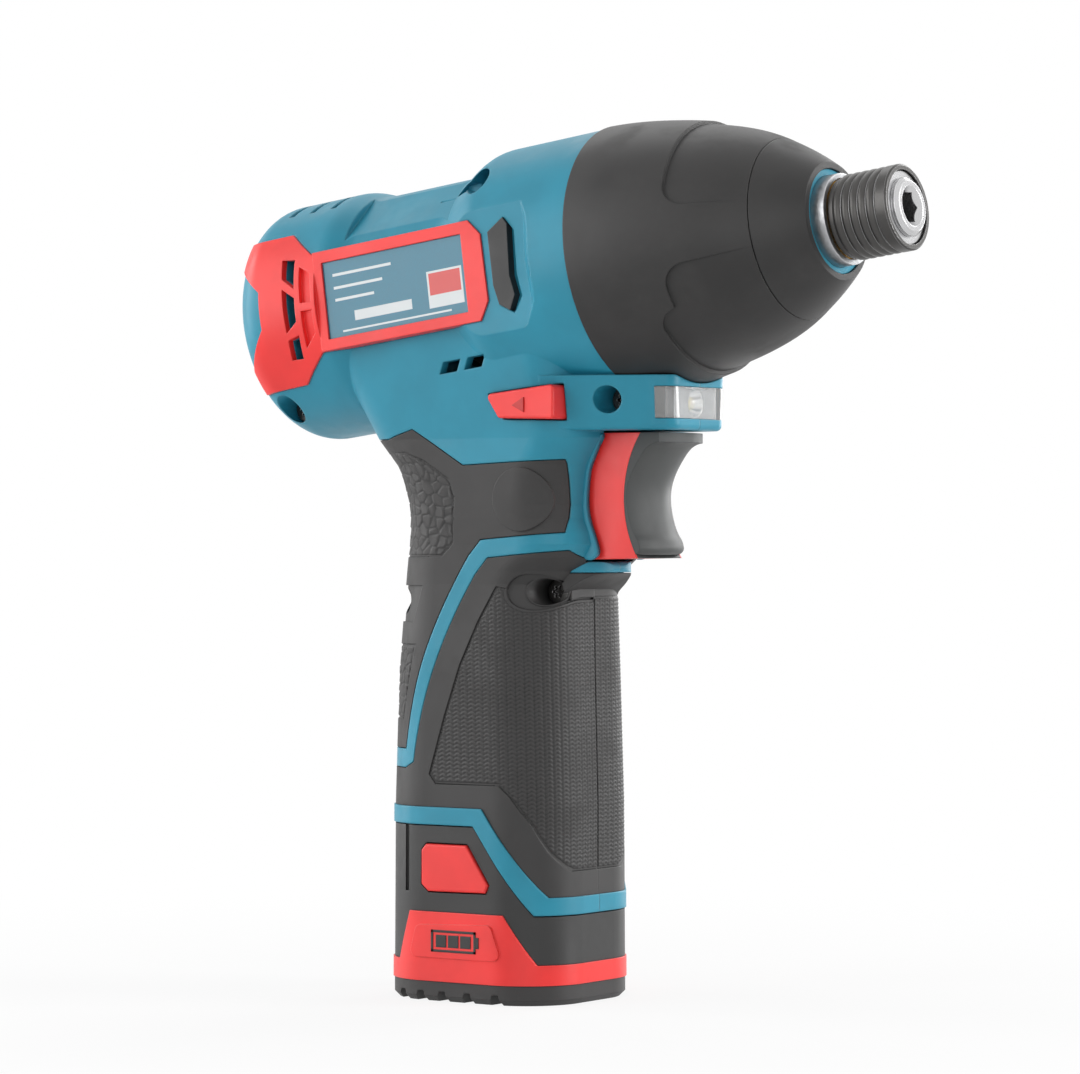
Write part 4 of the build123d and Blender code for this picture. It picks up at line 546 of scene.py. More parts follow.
@dataclass(frozen=True)
class ClearPlastic(Finish):
    """Clear moulded lens with a slight haze and flow lines."""

    span: Pair = (0.35, 0.7)
    sheen: Pair = (0.0, 0.12)
    clear: float = 0.8
    ior: float = 1.49
    flow_depth: float = 0.05

    def skin(self, graph: Graph, place: Socket, edge: Socket) -> Skin:
        """Flow lines in the gloss and the relief."""
        flow = graph.noise(place, scale=0.25, detail=3.0, distortion=1.5)
        return Skin(rgba(self.colour), self.glossed(graph, flow), flow, self.flow_depth)


@dataclass(frozen=True)
class LightBoard(Finish):
    """White board with a yellow light chip in its middle."""

    tones: Pair = (0.85, 1.0)
    grain: float = 1.4
    grain_depth: float = 0.01
    chip: Colour = (0.9, 0.72, 0.2)
    chip_x: float = 45.4
    chip_z: float = 135.7
    chip_r: float = 1.6

    def skin(self, graph: Graph, place: Socket, edge: Socket) -> Skin:
        """The chip's round mask over the board's grain."""
        x, y, z = graph.split(place)
        rise = graph.math("SUBTRACT", z, self.chip_z)
        squares = [graph.math("POWER", part, 2.0) for part in (y, rise)]
        away = graph.math("SQRT", graph.math("ADD", *squares))
        near = graph.past(away, self.chip_r, -PRINT_SOFT)
        on_chip = graph.math("MULTIPLY", near, graph.past(x, self.chip_x))
        height = graph.group(FX.grain, Vector=place, Scale=self.grain)["Height"]
        colour = graph.tint(on_chip, self.toned(graph, height), rgba(self.chip))
        return Skin(colour, self.roughness, height, self.grain_depth)


@dataclass(frozen=True)
class CellWrap(Finish):
    """Shrink wrap of a cell: glossy film with a pale ring at the top."""

    sheen: Pair = (-0.05, 0.1)
    coat: float = 0.3
    ring: Colour = (0.75, 0.76, 0.77)
    ring_span: Pair = (69.0, 69.3)
    wrinkle_depth: float = 0.05

    def skin(self, graph: Graph, place: Socket, edge: Socket) -> Skin:
        """The pale ring and the film's wrinkles."""
        wrinkle = graph.noise(place, scale=0.5, detail=3.0, distortion=1.0)
        mask = graph.ramp(graph.split(place)[2], self.ring_span)
        ringed = graph.tint(mask, rgba(self.colour), rgba(self.ring))
        return Skin(ringed, self.glossed(graph, wrinkle), wrinkle, self.wrinkle_depth)


TEAL = Moulded("teal_plastic", linear("2989A2"), 0.40, worn=linear("6FB3C4"))
SHELL = replace(TEAL, name="teal_shell", parting=0.09, edge_radius=0.6, specular=0.32)
RED = Moulded("red_plastic", linear("EE3634"), 0.36, worn=linear("FF8D80"), grain_depth=0.008)
TRIGGER = TriggerPlastic("trigger_red", RED.colour, RED.roughness, worn=RED.worn, grain_depth=RED.grain_depth)
# The arrow's red is darker than the selector's: painted shade standing in for the shade along the raised
# arrow's walls.
ARROW_RED = Moulded("arrow_red", linear("BE2A28"), 0.40, worn=linear("E04A44"), grain_depth=0.008)
GREY = Moulded("grey_plastic", linear("292929"), 0.46, worn=linear("808080"), grain_depth=0.016)
BLACK = Moulded("black_plastic", linear("262626"), 0.5, worn=linear("555555"))
FRAME = Moulded("light_frame", linear("94979A"), 0.4, worn=linear("B5B8BA"))
PAD = Rubber("trigger_rubber", linear("3C3E3E"), 0.55)
BOOT = Rubber("boot_rubber", linear("1E1D1D"), 0.5, space=Space.BARREL, edge_radius=0.4)
FOOT = Rubber("foot_rubber", linear("2A2929"), 0.6, edge_radius=0.4)
GRIP = Rubber("grip_rubber", linear("272626"), 0.56, parting=0.09)
# Both textured fields carry painted shade in their hollows and a painted highlight on their crests.
KNIT = ReliefRubber("knit_rubber", linear("292828"), 0.58, hollow_painted_shade=0.28)
FACETED = ReliefRubber("faceted_rubber", linear("2F2E2E"), 0.56, hollow_painted_shade=0.5, crest_painted_highlight=1.15)
PLATE = PlateFoil(
    "plate_foil", linear("1F6E86"), 0.38, space=Space.BARREL,
    fields=((-25.5, -3.9, 8.2, 1.15), (-7.6, -1.6, 4.9, 4.2), (-30.5, 6.2, 8.4, 0.32),
            (-31.9, 3.2, 7.0, 0.32), (-33.2, 0.4, 5.6, 0.32), (-22.0, -7.0, 15.5, 0.22)),
    accent_fields=((-7.6, -0.4, 4.4, 2.5),))
STEEL = TurnedMetal("bright_steel", linear("C9C9CA"), 0.24)
DARK_STEEL = TurnedMetal("dark_steel", linear("4E4D4C"), 0.36, edge_light=0.5, mark_depth=0.006)
BRASS = TurnedMetal("brass", linear("C79A4B"), 0.3)
CAST = CastMetal("cast_aluminium", linear("B9BABC"), 0.38)
MAGNET = CastMetal("magnet", linear("3B3B3C"), 0.6, metallic=0.0)
CHROME = CastMetal("reflector_chrome", linear("F2F2F3"), 0.2, grain=0.5, grain_depth=0.004)
COPPER = Wound("lamination", linear("B5652B"), 0.35)
LENS = ClearPlastic("clear_plastic", (0.97, 0.98, 0.98), 0.06)
BOARD = LightBoard("board", linear("E8E8E4"), 0.4)
CELL = CellWrap("cell_wrap", linear("2B5FA8"), 0.3)
Looks = tuple[tuple[Finish, Sequence[str]], ...]


def smooth_step(low: float, high: float, value: Array) -> Array:
    """Nought at low, one at high, with a smooth run between: 3t² - 2t³ of the share t."""
    share = np.clip((value - low) / (high - low), 0.0, 1.0)
    return share * share * (3.0 - 2.0 * share)


def circle(count: int) -> Array:
    """Angles of points spread evenly round a circle."""
    return np.linspace(0.0, 2 * np.pi, count, endpoint=False)


def distance_inside(x: Array, z: Array, outline: Corners) -> Array:
    """How far points lie inside a side outline.

    The distance to each straight run is the distance to its nearest point; the least counts. A point is
    inside where a level line from it crosses the outline an odd number of times.

    Args:
        x: places along the tool.
        z: heights.
        outline: corners of the outline as X and Z.

    Returns:
        Millimetres from the outline, positive inside.
    """
    least = np.full(x.shape, np.inf)
    odd = np.zeros(x.shape, dtype=bool)
    for (ax, az), (bx, bz) in zip(outline, (*outline[1:], outline[0])):
        run_x, run_z = bx - ax, bz - az
        share = np.clip(((x - ax) * run_x + (z - az) * run_z) / (run_x ** 2 + run_z ** 2), 0.0, 1.0)
        least = np.minimum(least, np.hypot(x - ax - share * run_x, z - az - share * run_z))
        if az != bz:
            odd ^= ((az > z) != (bz > z)) & (x < ax + run_x * (z - az) / run_z)
    return np.where(odd, least, -least)


def knit_height(run: Array, z: Array) -> Array:
    """Relief of the knit field: columns of V-shaped stitches.

    Within a column the distance from its middle shifts the row's sine wave, so that each row is a V; the
    lines between the columns and the spine of each V are sunk.

    Args:
        run: distance round the handle.
        z: height.

    Returns:
        Heights from nought to one.
    """
    column, row, lean, wall_from, spine, spine_to = 2.1, 0.95, 1.5, 0.36, 0.55, 0.1
    spread = np.abs(np.mod(run / column, 1.0) - 0.5)
    stitch = np.abs(np.sin(np.pi * (z / row + lean * spread)))
    wall = smooth_step(0.5, wall_from, spread)
    return stitch * wall * (spine + (1.0 - spine) * smooth_step(0.0, spine_to, spread))


def facet_height(run: Array, z: Array) -> Array:
    """Relief of the back fields: cells of a shaken grid, each a tilted flat, sunk at their borders.

    A cell's middle and tilt are drawn from the sine of its numbers. A point belongs to the nearest middle,
    and the border is where the second nearest is as near.

    Args:
        run: distance round the handle.
        z: height.

    Returns:
        Heights from nought to one.
    """
    size, shake, crease, mean, slope, least = 2.4, 0.8, 0.22, 0.55, 0.7, 0.1
    u, v = run / size, z / size
    first, second = np.full(u.shape, np.inf), np.full(u.shape, np.inf)
    tilt = np.zeros(u.shape)
    edge = (1.0 - shake) / 2
    for i, j in np.ndindex(3, 3):
        cell_u, cell_v = np.floor(u) + i - 1, np.floor(v) + j - 1
        draw = np.mod(np.sin(cell_u * DRAW_U + cell_v * DRAW_V) * DRAW_SPREAD, 1.0)
        other = np.mod(draw * DRAW_OTHER, 1.0)
        off_u, off_v = u - cell_u - edge - shake * draw, v - cell_v - edge - shake * other
        away = np.hypot(off_u, off_v)
        way = 2 * np.pi * np.mod(draw * DRAW_TILT, 1.0)
        nearer = away < first
        tilt = np.where(nearer, off_u * np.cos(way) + off_v * np.sin(way), tilt)
        second = np.where(nearer, first, np.minimum(second, away))
        first = np.where(nearer, away, first)
    return smooth_step(0.0, crease, second - first) * np.clip(mean + slope * tilt, least, 1.0)


def smooth_path(points: Corners, count: int) -> Array:
    """A curve through points.

    Between two points it is a cubic whose slope at each is half the step from the point before to the next.

    Args:
        points: the points in order.
        count: how many points the curve gets.

    Returns:
        Points of the curve, count by two.
    """
    spots = np.array(points)
    spots = np.concatenate([2 * spots[:1] - spots[1:2], spots, 2 * spots[-1:] - spots[-2:-1]])
    place = np.linspace(0.0, len(points) - 1.0, count)
    run = np.minimum(place.astype(int), len(points) - 2)
    share = (place - run)[:, None]
    before, here, ahead, after = (spots[run + i] for i in range(4))
    bend = 2 * before - 5 * here + 4 * ahead - after
    twist = 3 * (here - ahead) + after - before
    return here + 0.5 * share * (ahead - before + share * (bend + share * twist))


def raised(outline: Corners, low: float, high: float) -> Array:
    """A side outline carried across the tool between two values of Y.

    Four rows: the middle and the outline at the low end, then the outline and the middle at the high end.
    """
    flat = np.array(outline, dtype=float)
    middle = np.broadcast_to(flat.mean(0), flat.shape)
    rows = [(middle, low), (flat, low), (flat, high), (middle, high)]
    return np.stack([np.insert(row, 1, y, axis=1) for row, y in rows])


def placed(name: str, data: bpy.types.ID) -> Piece:
    """A new object in the scene."""
    piece = bpy.data.objects.new(name, data)
    bpy.context.scene.collection.objects.link(piece)
    return piece


def wrapped(points: Array, node: str, across: bool = False) -> Array:
    """Carry points to the nearest place on a CAD node's surface.

    Args:
        points: any grid of points.
        node: the node's name.
        across: whether they move along Y only.

    Returns:
        The moved points in the same grid.
    """
    mesh = bpy.data.meshes.new("probe")
    mesh.vertices.add(points.size // 3)
    mesh.vertices.foreach_set("co", (points * MM).ravel())
    probe = placed("probe", mesh)
    wrap = probe.modifiers.new("wrap", "SHRINKWRAP")
    wrap.target, wrap.wrap_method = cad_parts[node], "PROJECT" if across else "NEAREST_SURFACEPOINT"
    wrap.use_project_y = wrap.use_negative_direction = across
    moved = np.empty(points.size)
    probe.evaluated_get(bpy.context.evaluated_depsgraph_get()).data.vertices.foreach_get("co", moved)
    bpy.data.objects.remove(probe)
    bpy.data.meshes.remove(mesh)
    return moved.reshape(points.shape) / MM


def grid_quads(rows: int, columns: int, wrap: bool) -> Array:
    """Faces between the neighbours of a grid, by point numbers; wrap closes each row on itself."""
    index = np.arange(rows * columns).reshape(rows, columns)
    here, ahead = (index, np.roll(index, -1, 1)) if wrap else (index[:, :-1], index[:, 1:])
    return np.stack([here[:-1], ahead[:-1], ahead[1:], here[1:]], -1).reshape(-1, 4)


def mesh_piece(name: str, spots: Array, quads: Array, smooth: bool = True) -> Piece:
    """Make an object from points and faces.

    Args:
        name: the piece's name.
        spots: points, count by three.
        quads: point numbers of each face.
        smooth: whether faces are shaded smooth.

    Returns:
        The new object.
    """
    mesh = bpy.data.meshes.new(name)
    mesh.from_pydata((spots * MM).tolist(), [], quads.tolist())
    mesh.polygons.foreach_set("use_smooth", np.full(len(mesh.polygons), smooth))
    return placed(name, mesh)


def grid_piece(name: str, *grids: Array, smooth: bool = True) -> Piece:
    """Make an object from grids of points whose rows close on themselves.

    Args:
        name: the piece's name.
        grids: each rows by columns by three.
        smooth: whether faces are shaded smooth.

    Returns:
        The new object, with doubled points merged and faces turned outwards.
    """
    starts = np.cumsum([0, *(grid.size // 3 for grid in grids)])
    quads = [grid_quads(*grid.shape[:2], wrap=True) + start for grid, start in zip(grids, starts)]
    spots = np.concatenate([grid.reshape(-1, 3) for grid in grids])
    piece = mesh_piece(name, spots, np.concatenate(quads), smooth)
    work = bmesh.new()
    work.from_mesh(piece.data)
    bmesh.ops.remove_doubles(work, verts=work.verts, dist=MERGE)
    bmesh.ops.recalc_face_normals(work, faces=work.faces)
    work.to_mesh(piece.data)
    work.free()
    return piece


def thicken(piece: Piece, wall: float, offset: float = -1.0) -> Piece:
    """Give a sheet a wall: inwards of it, or to both sides at an offset of nought."""
    solid = piece.modifiers.new("wall", "SOLIDIFY")
    solid.thickness, solid.offset = wall * MM, offset
    return piece


def sheet_piece(name: str, points: Array, normals: Array, wall: float, keep: Array,
                relief: Array) -> Piece:
    """Make a thin closed sheet from the kept part of a grid.

    Args:
        name: the piece's name.
        points: rows by columns by three.
        normals: outward directions at the points.
        wall: the sheet's thickness.
        keep: which points the sheet keeps.
        relief: a height that each point carries for its finish.

    Returns:
        The new object, with its faces turned along the normals.
    """
    quads = grid_quads(*keep.shape, wrap=False)
    quads = quads[keep.ravel()[quads].all(1)]
    used, quads = np.unique(quads, return_inverse=True)
    quads = quads.reshape(-1, 4)
    spots, ways = points.reshape(-1, 3)[used], normals.reshape(-1, 3)[used]
    across, along = spots[quads[:, 1]] - spots[quads[:, 0]], spots[quads[:, 3]] - spots[quads[:, 0]]
    if (np.cross(across, along) * ways[quads[:, 0]]).sum() < 0.0:
        quads = quads[:, ::-1]
    piece = mesh_piece(name, spots, quads)
    piece.data.attributes.new(RELIEF, "FLOAT", "POINT").data.foreach_set("value", relief.ravel()[used])
    return thicken(piece, wall)


@dataclass(frozen=True)
class HandleForm:
    """The handle's surface: level cuts that are rounded rectangles, straight between named heights."""

    heights: tuple[float, ...] = (0.0, 45.0, 75.0, 95.0, 104.0, 112.0, 120.0, 128.0)
    backs: tuple[float, ...] = (-24.5, -24.5, -23.8, -22.4, -21.4, -20.6, -22.3, -28.4)
    fronts: tuple[float, ...] = (24.5, 24.5, 23.8, 23.5, 31.2, 28.4, 28.8, 32.8)
    widths: tuple[float, ...] = (43.3, 42.5, 41.8, 40.3, 40.4, 41.1, 41.4, 41.8)
    corners: tuple[float, ...] = (15.0, 15.0, 15.0, 15.0, 15.0, 14.0, 13.0, 13.0)

    def cut(self, z: Any) -> list[Any]:
        """Back, front, width and corner radius at a height."""
        rows = (self.backs, self.fronts, self.widths, self.corners)
        return [np.interp(z, self.heights, row) for row in rows]

    def walk(self, run: Array, z: Array, forward: bool) -> tuple[Array, Array]:
        """Points of the right side by distance round a cut and by height.

        From the middle of the front or back the walk goes straight across, then round the corner as an arc of
        distance over radius, then straight along the side.

        Args:
            run: distance from the middle plane round the cut.
            z: height.
            forward: whether the walk starts at the front.

        Returns:
            Points and outward normals.
        """
        back, front, width, corner = self.cut(z)
        flat = width / 2 - corner
        turn = np.clip((run - flat) / corner, 0.0, np.pi / 2)
        along = np.maximum(run - flat - corner * np.pi / 2, 0.0)
        way, middle = (1.0, front - corner) if forward else (-1.0, back + corner)
        x = middle + way * (corner * np.cos(turn) - along)
        y = -np.minimum(run, flat) - corner * np.sin(turn)
        normals = np.stack([way * np.cos(turn), -np.sin(turn), np.zeros_like(z)], -1)
        return np.stack([x, y, z], -1), normals


HANDLE = HandleForm()


@dataclass(frozen=True)
class ReliefField:
    """A textured field of the overmould, laid into its sunk place as a thin closed sheet."""

    name: str
    node: str
    finish: Finish
    pattern: Callable[[Array, Array], Array]
    span: Pair
    reach: float
    forward: bool
    outline: Corners
    dish: Four | None = None
    step: Pair = (0.3, 0.19)
    groove: float = 0.35
    floor: float = 0.04
    depth: float = 0.26
    sink: float = 0.12
    sheet: float = 0.25
    parting: float = 0.2

    def inside(self, points: Array, dished: bool) -> Array:
        """Distance of points inside the outline, and clear of the oval dish where there is one."""
        x, z = points[..., 0], points[..., 2]
        inside = distance_inside(x, z, self.outline)
        if self.dish and dished:
            dish_x, dish_z, long, high = self.dish
            inside = np.minimum(inside, (np.hypot((x - dish_x) / long, (z - dish_z) / high) - 1.0) * high)
        return inside

    def build(self, side: str) -> Piece:
        """Lay the grid round the handle, wrap it to the overmould and raise it by the pattern.

        Args:
            side: right or left.

        Returns:
            The sheet, whose border dips under the floor of the field.
        """
        runs = np.arange(self.parting, self.reach, self.step[0])
        run, z = np.meshgrid(runs, np.arange(*self.span, self.step[1]))
        points, normals = HANDLE.walk(run, z, self.forward)
        inside = self.inside(points, side == "right")
        share = smooth_step(self.groove, 2 * self.groove, inside)
        relief = self.pattern(run, z) * share
        rise = self.floor + self.depth * relief - (self.floor + self.sink) * (1.0 - share)
        mirror = np.array([1.0, -SIDES[side], 1.0])
        surface = wrapped(points * mirror, f"{side}_{self.node}") + normals * mirror * rise[..., None]
        keep = inside > self.groove / 2
        return sheet_piece(f"{side}_{self.name}", surface, normals * mirror, self.sheet, keep, relief)


class Dresser:
    """Gives pieces their materials, each finish built once."""

    def __init__(self) -> None:
        """Start with no material built."""
        self.built: dict[str, bpy.types.Material] = {}

    def dress(self, piece: Piece, finish: Finish) -> None:
        """Put a finish on a piece.

        Args:
            piece: a CAD node or a new piece.
            finish: the finish that it gets.
        """
        if finish.name not in self.built:
            self.built[finish.name] = finish.material()
        piece.data.materials.clear()
        piece.data.materials.append(self.built[finish.name])
        LOG.info("%s: %s", piece.name, finish.name)

    def add(self, piece: Piece, finish: Finish, body: str, slot: str) -> None:
        """Dress a new piece and let it ride.

        Args:
            piece: the new piece.
            finish: the finish that it gets.
            body: the body that it moves with.
            slot: the record's material slot; not used.
        """
        self.dress(piece, finish)
        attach(piece, body)


def both_sides(*names: str) -> list[str]:
    """The right and left node of each name."""
    return [f"{side}_{name}" for name in names for side in SIDES]


@dataclass
class Assembly:
    """A sub-assembly: CAD nodes with their finishes, and the pieces that are added to them."""

    dresser: Dresser
    looks: Looks = ()

    def build(self) -> None:
        """Build the added pieces."""
        raise NotImplementedError

    def dress(self) -> None:
        """Dress the CAD nodes."""
        for finish, names in self.looks:
            for name in names:
                self.dresser.dress(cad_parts[name], finish)


@dataclass
class Housing(Assembly):
    """Clamshells with their overmoulds, trims and plates."""

    screw: Pair = (19.6, 93.3)
    screw_dish: Four = (18.2, 93.3, 5.6, 4.1)
    dish_depth: float = 0.9
    dish_end: float = 8.9
    dish_top: float = 95.0
    dish_least: float = 0.02
    dish_grid: tuple[int, int] = (30, 25)
    hair: float = 0.02
    cup_bore: float = 2.95
    cup_wall: float = 0.4
    cup_floor: float = 6.9
    cup_least: float = 9.6
    cup_sides: int = 72
    rim_front: Corners = (
        (32.9, 128.8), (31.6, 126.2), (30.5, 123.8), (29.4, 121.3), (28.95, 119.0), (28.75, 117.0),
        (28.6, 114.9), (28.65, 112.5), (28.95, 110.4), (29.7, 108.0), (30.4, 106.2), (31.1, 104.2),
        (31.5, 102.7), (31.3, 101.6), (30.4, 100.9))
    rim_back: Corners = (
        (31.3, 128.8), (30.0, 126.2), (28.9, 123.8), (27.8, 121.3), (27.35, 119.0), (27.15, 117.0),
        (27.0, 114.9), (27.0, 112.5), (27.2, 110.4), (27.5, 108.0), (27.1, 105.6), (26.7, 103.2),
        (27.3, 101.6), (28.1, 100.8), (28.9, 100.5))
    rim_section: Corners = ((0.0, 0.0), (0.0, 0.75), (0.05, 0.93), (0.15, 1.0), (0.85, 1.0), (0.95, 0.93),
                            (1.0, 0.75), (1.0, 0.0), (0.5, 0.0))
    rim_inner: float = 9.65
    rim_outer: float = 11.0
    rim_tuck: Point = (100.4, 98.4, 2.7)
    rim_nose: Point = (0.4, 0.0, -0.1)
    rim_drawn: Pair = (0.75, 0.7)
    rim_rows: int = 90
    fields: tuple[ReliefField, ...] = (
        ReliefField("palm_field", "front_grip", KNIT, knit_height, (30.1, 94.7), 48.0, True, (
            (10.1, 94.6), (5.2, 86.5), (0.5, 76.8), (-3.7, 65.0), (-7.8, 51.7), (-5.9, 49.4), (11.5, 49.5),
            (14.0, 47.2), (18.3, 41.1), (21.4, 34.4), (24.0, 30.1), (BEYOND, 30.1), (BEYOND, 92.0),
            (24.5, 92.0)), screw_dish),
        ReliefField("upper_back_field", "rear_grip", FACETED, facet_height, (100.3, 125.2), 50.0, False, (
            (-BEYOND, 125.1), (-14.9, 125.1), (-9.6, 123.3), (-2.7, 119.1), (-1.0, 114.8), (-1.8, 104.1),
            (-5.0, 101.1), (-BEYOND, 100.3))),
        ReliefField("lower_back_field", "rear_grip", FACETED, facet_height, (62.0, 81.3), 50.0, False, (
            (-BEYOND, 81.2), (-12.4, 81.2), (-16.4, 64.0), (-BEYOND, 62.0))),
    )
    looks: Looks = (
        (SHELL, both_sides("housing")),
        (GRIP, both_sides("front_grip", "rear_grip")),
        (RED, both_sides("side_trim")),
        (PLATE, both_sides("plate")),
        (GREY, both_sides("side_insert")),
        (DARK_STEEL, ["housing_screws"]),
    )

    def screw_cup(self) -> Piece:
        """Build the dark rubber cup round the grip screw: partly the overmould's rubber, partly painted shade
        standing in for the shade inside the deep well.

        A tube about a line along Y. Its mouth follows the floor of the dish on the handle's rounded corner,
        half the straight width plus the arc's height, and stops at a least depth where the corner falls away.

        Returns:
            The cup.
        """
        turn, (x, z) = circle(self.cup_sides), self.screw
        _, front, width, corner = HANDLE.cut(z)
        middle, outer = self.cup_bore + self.cup_wall / 2, self.cup_bore + self.cup_wall
        off = x + outer * np.cos(turn) - front + corner
        surface = width / 2 - corner + np.sqrt(np.maximum(corner ** 2 - off ** 2, 0.0))
        mouth = np.maximum(surface - self.dish_depth + self.cup_wall / 4, self.cup_least)
        floor, lip = np.full_like(mouth, self.cup_floor), mouth - self.cup_wall / 3
        bore = self.cup_bore
        section = ((bore, floor), (bore, lip), (middle, mouth), (outer, lip), (outer, floor), (bore, floor))
        rings = [np.stack([x + r * np.cos(turn), -y, z + r * np.sin(turn)], -1) for r, y in section]
        return grid_piece("grip_screw_cup", np.stack(rings))

    def dish_fill(self) -> Piece:
        """Build the skin that ends the screw's oval dish before the middle of the front.

        Rows run round the handle's front, and each column fills the height of the oval at its X.

        Returns:
            The skin, flush with the grip.
        """
        dish_x, dish_z, long, high = self.screw_dish
        runs = np.linspace(self.hair, self.dish_end, self.dish_grid[0])
        x = HANDLE.walk(runs, np.full_like(runs, dish_z), True)[0][..., 0]
        left = np.clip(1.0 - ((x - dish_x) / (long + self.hair)) ** 2, self.dish_least, 1.0)
        run, share = np.meshgrid(runs, np.linspace(-1.0, 1.0, self.dish_grid[1]))
        z = dish_z + share * ((high + self.hair) * np.sqrt(left))
        points, normals = HANDLE.walk(run, np.minimum(z, self.dish_top), True)
        points[..., 2] = z
        keep, relief = np.full(z.shape, True), np.zeros(z.shape)
        return sheet_piece("grip_dish_fill", points, normals, self.dish_depth, keep, relief)

    def trigger_rim(self, side: str) -> Piece:
        """Build the rim beside the trigger.

        A section with rounded outer corners between two side curves, the edge towards the trigger and the
        edge under the shell, is carried down both. Below the trigger it steps inwards, and its last rows draw
        in to a rounded nose.

        Args:
            side: right or left.

        Returns:
            The rim.
        """
        front, back = smooth_path(self.rim_front, self.rim_rows), smooth_path(self.rim_back, self.rim_rows)
        across, out = np.array(self.rim_section).T
        flat = front[:, None] + (back - front)[:, None] * across[None, :, None]
        high, low, tuck = self.rim_tuck
        inward = tuck * smooth_step(high, low, flat[..., 1])
        y = SIDES[side] * (self.rim_inner + (self.rim_outer - self.rim_inner) * out - inward)
        rings = np.stack([flat[..., 0], y, flat[..., 1]], -1)
        start, end = rings[:1].mean(1, keepdims=True), rings[-1:].mean(1, keepdims=True)
        nose, (shrink, ahead) = np.array(self.rim_nose), self.rim_drawn
        drawn = end + shrink * (rings[-1:] - end) + ahead * nose
        closed = [np.broadcast_to(start, drawn.shape), rings, drawn, np.broadcast_to(end + nose, drawn.shape)]
        return grid_piece(f"{side}_trigger_rim", np.concatenate(closed))

    def build(self) -> None:
        """Build the trigger's rims, the screw's cup and the textured fields of both sides."""
        for side in SIDES:
            self.dresser.add(self.trigger_rim(side), TEAL, "housing", "teal_plastic")
        # The screw's cup is partly the grip's rubber and partly painted shade in the deep well.
        for piece in (self.screw_cup(), self.dish_fill()):
            self.dresser.add(piece, GRIP, "housing", "grip_rubber")
        for side in SIDES:
            for relief in self.fields:
                self.dresser.add(relief.build(side), relief.finish, "housing", "grip_rubber")


@dataclass
class Head(Assembly):
    """Hammer case with its boot, the light and the chuck."""

    light_middle: float = 135.7
    cup_rear: float = 45.6
    cup_front: float = 49.5
    skirt_end: float = 45.2
    cup_throat: float = 1.75
    cup_mouth: float = 3.2
    frame_half: Pair = (7.9, 3.35)
    frame_power: float = 8.0
    wall: float = 0.2
    light_sides: int = 96
    light_rows: int = 14
    looks: Looks = (
        (BOOT, ["case_boot", "nose_boot"]),
        (TEAL, ["nose_seal"]),
        (CAST, ["hammer_case"]),
        (BRASS, ["anvil_bush"]),
        (STEEL, ["anvil", "bit_ball", "sleeve_clip", "sleeve_spring"]),
        (DARK_STEEL, ["chuck_sleeve"]),
        (LENS, ["led_lens"]),
        (BOARD, ["led_board"]),
    )

    def build(self) -> None:
        """Build the light's bowl and the rectangular frame round it, with its skirt.

        Along the first rows the radius grows as the square root of the depth, as in a dish. Along the next
        the circle goes over to a rounded rectangle, a superellipse, at the same depth. The last run back.
        """
        turn = circle(self.light_sides)
        share = np.linspace(0.0, 1.0, self.light_rows)[:, None]
        ring = np.stack([np.cos(turn), np.sin(turn)], -1)
        corner = (np.abs(ring) ** self.frame_power).sum(-1) ** (-1.0 / self.frame_power)
        edge = ring * corner[:, None] * np.array(self.frame_half)
        radius = np.sqrt(self.cup_throat ** 2 + (self.cup_mouth ** 2 - self.cup_throat ** 2) * share)
        bowl = radius[..., None] * ring
        plate = ring * self.cup_mouth * (1.0 - share[..., None]) + edge * share[..., None]
        skirt = np.broadcast_to(edge, (len(share) - 1, *edge.shape))
        bowl_x = self.cup_rear + (self.cup_front - self.cup_rear) * share
        skirt_x = self.cup_front - (self.cup_front - self.skirt_end) * share[1:]
        frame_x = np.concatenate([np.full_like(share, self.cup_front), skirt_x])
        for name, flat, x, finish, slot in (
                ("light_bowl", bowl, bowl_x, CHROME, "bright_steel"),
                ("light_frame", np.concatenate([plate, skirt]), frame_x, FRAME, "grey_plastic")):
            x = np.broadcast_to(x, flat.shape[:2])
            piece = grid_piece(name, np.stack([x, flat[..., 0], flat[..., 1] + self.light_middle], -1))
            self.dresser.add(thicken(piece, self.wall, offset=0.0), finish, "housing", slot)


@dataclass
class Controls(Assembly):
    """Trigger with its switch, and the direction selector."""

    arrow: Corners = ((17.4, 135.2), (20.6, 137.0), (20.6, 133.6))
    arrow_clear: float = 2.0
    arrow_root: float = 0.4
    arrow_proud: float = 0.3
    looks: Looks = (
        (TRIGGER, ["trigger_shell"]),
        (RED, ["direction_selector"]),
        (PAD, ["trigger_pad"]),
        (BLACK, ["switch_body", "terminal_block"]),
        (STEEL, ["trigger_spring"]),
        (BRASS, ["terminal_blades"]),
    )

    def build(self) -> None:
        """Build the arrow on each end of the selector: an outline laid on it, then moved in and out."""
        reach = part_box("direction_selector")[1][1] / MM + self.arrow_clear
        shift = np.array([-self.arrow_root, -self.arrow_root, self.arrow_proud, self.arrow_proud])
        for side, way in SIDES.items():
            grid = wrapped(raised(self.arrow, way * reach, way * reach), "direction_selector", across=True)
            grid[..., 1] += (shift * way)[:, None]
            piece = grid_piece(f"{side}_selector_arrow", grid, smooth=False)
            # The arrow's darker red is painted shade.
            self.dresser.add(piece, ARROW_RED, "selector", "red_plastic")


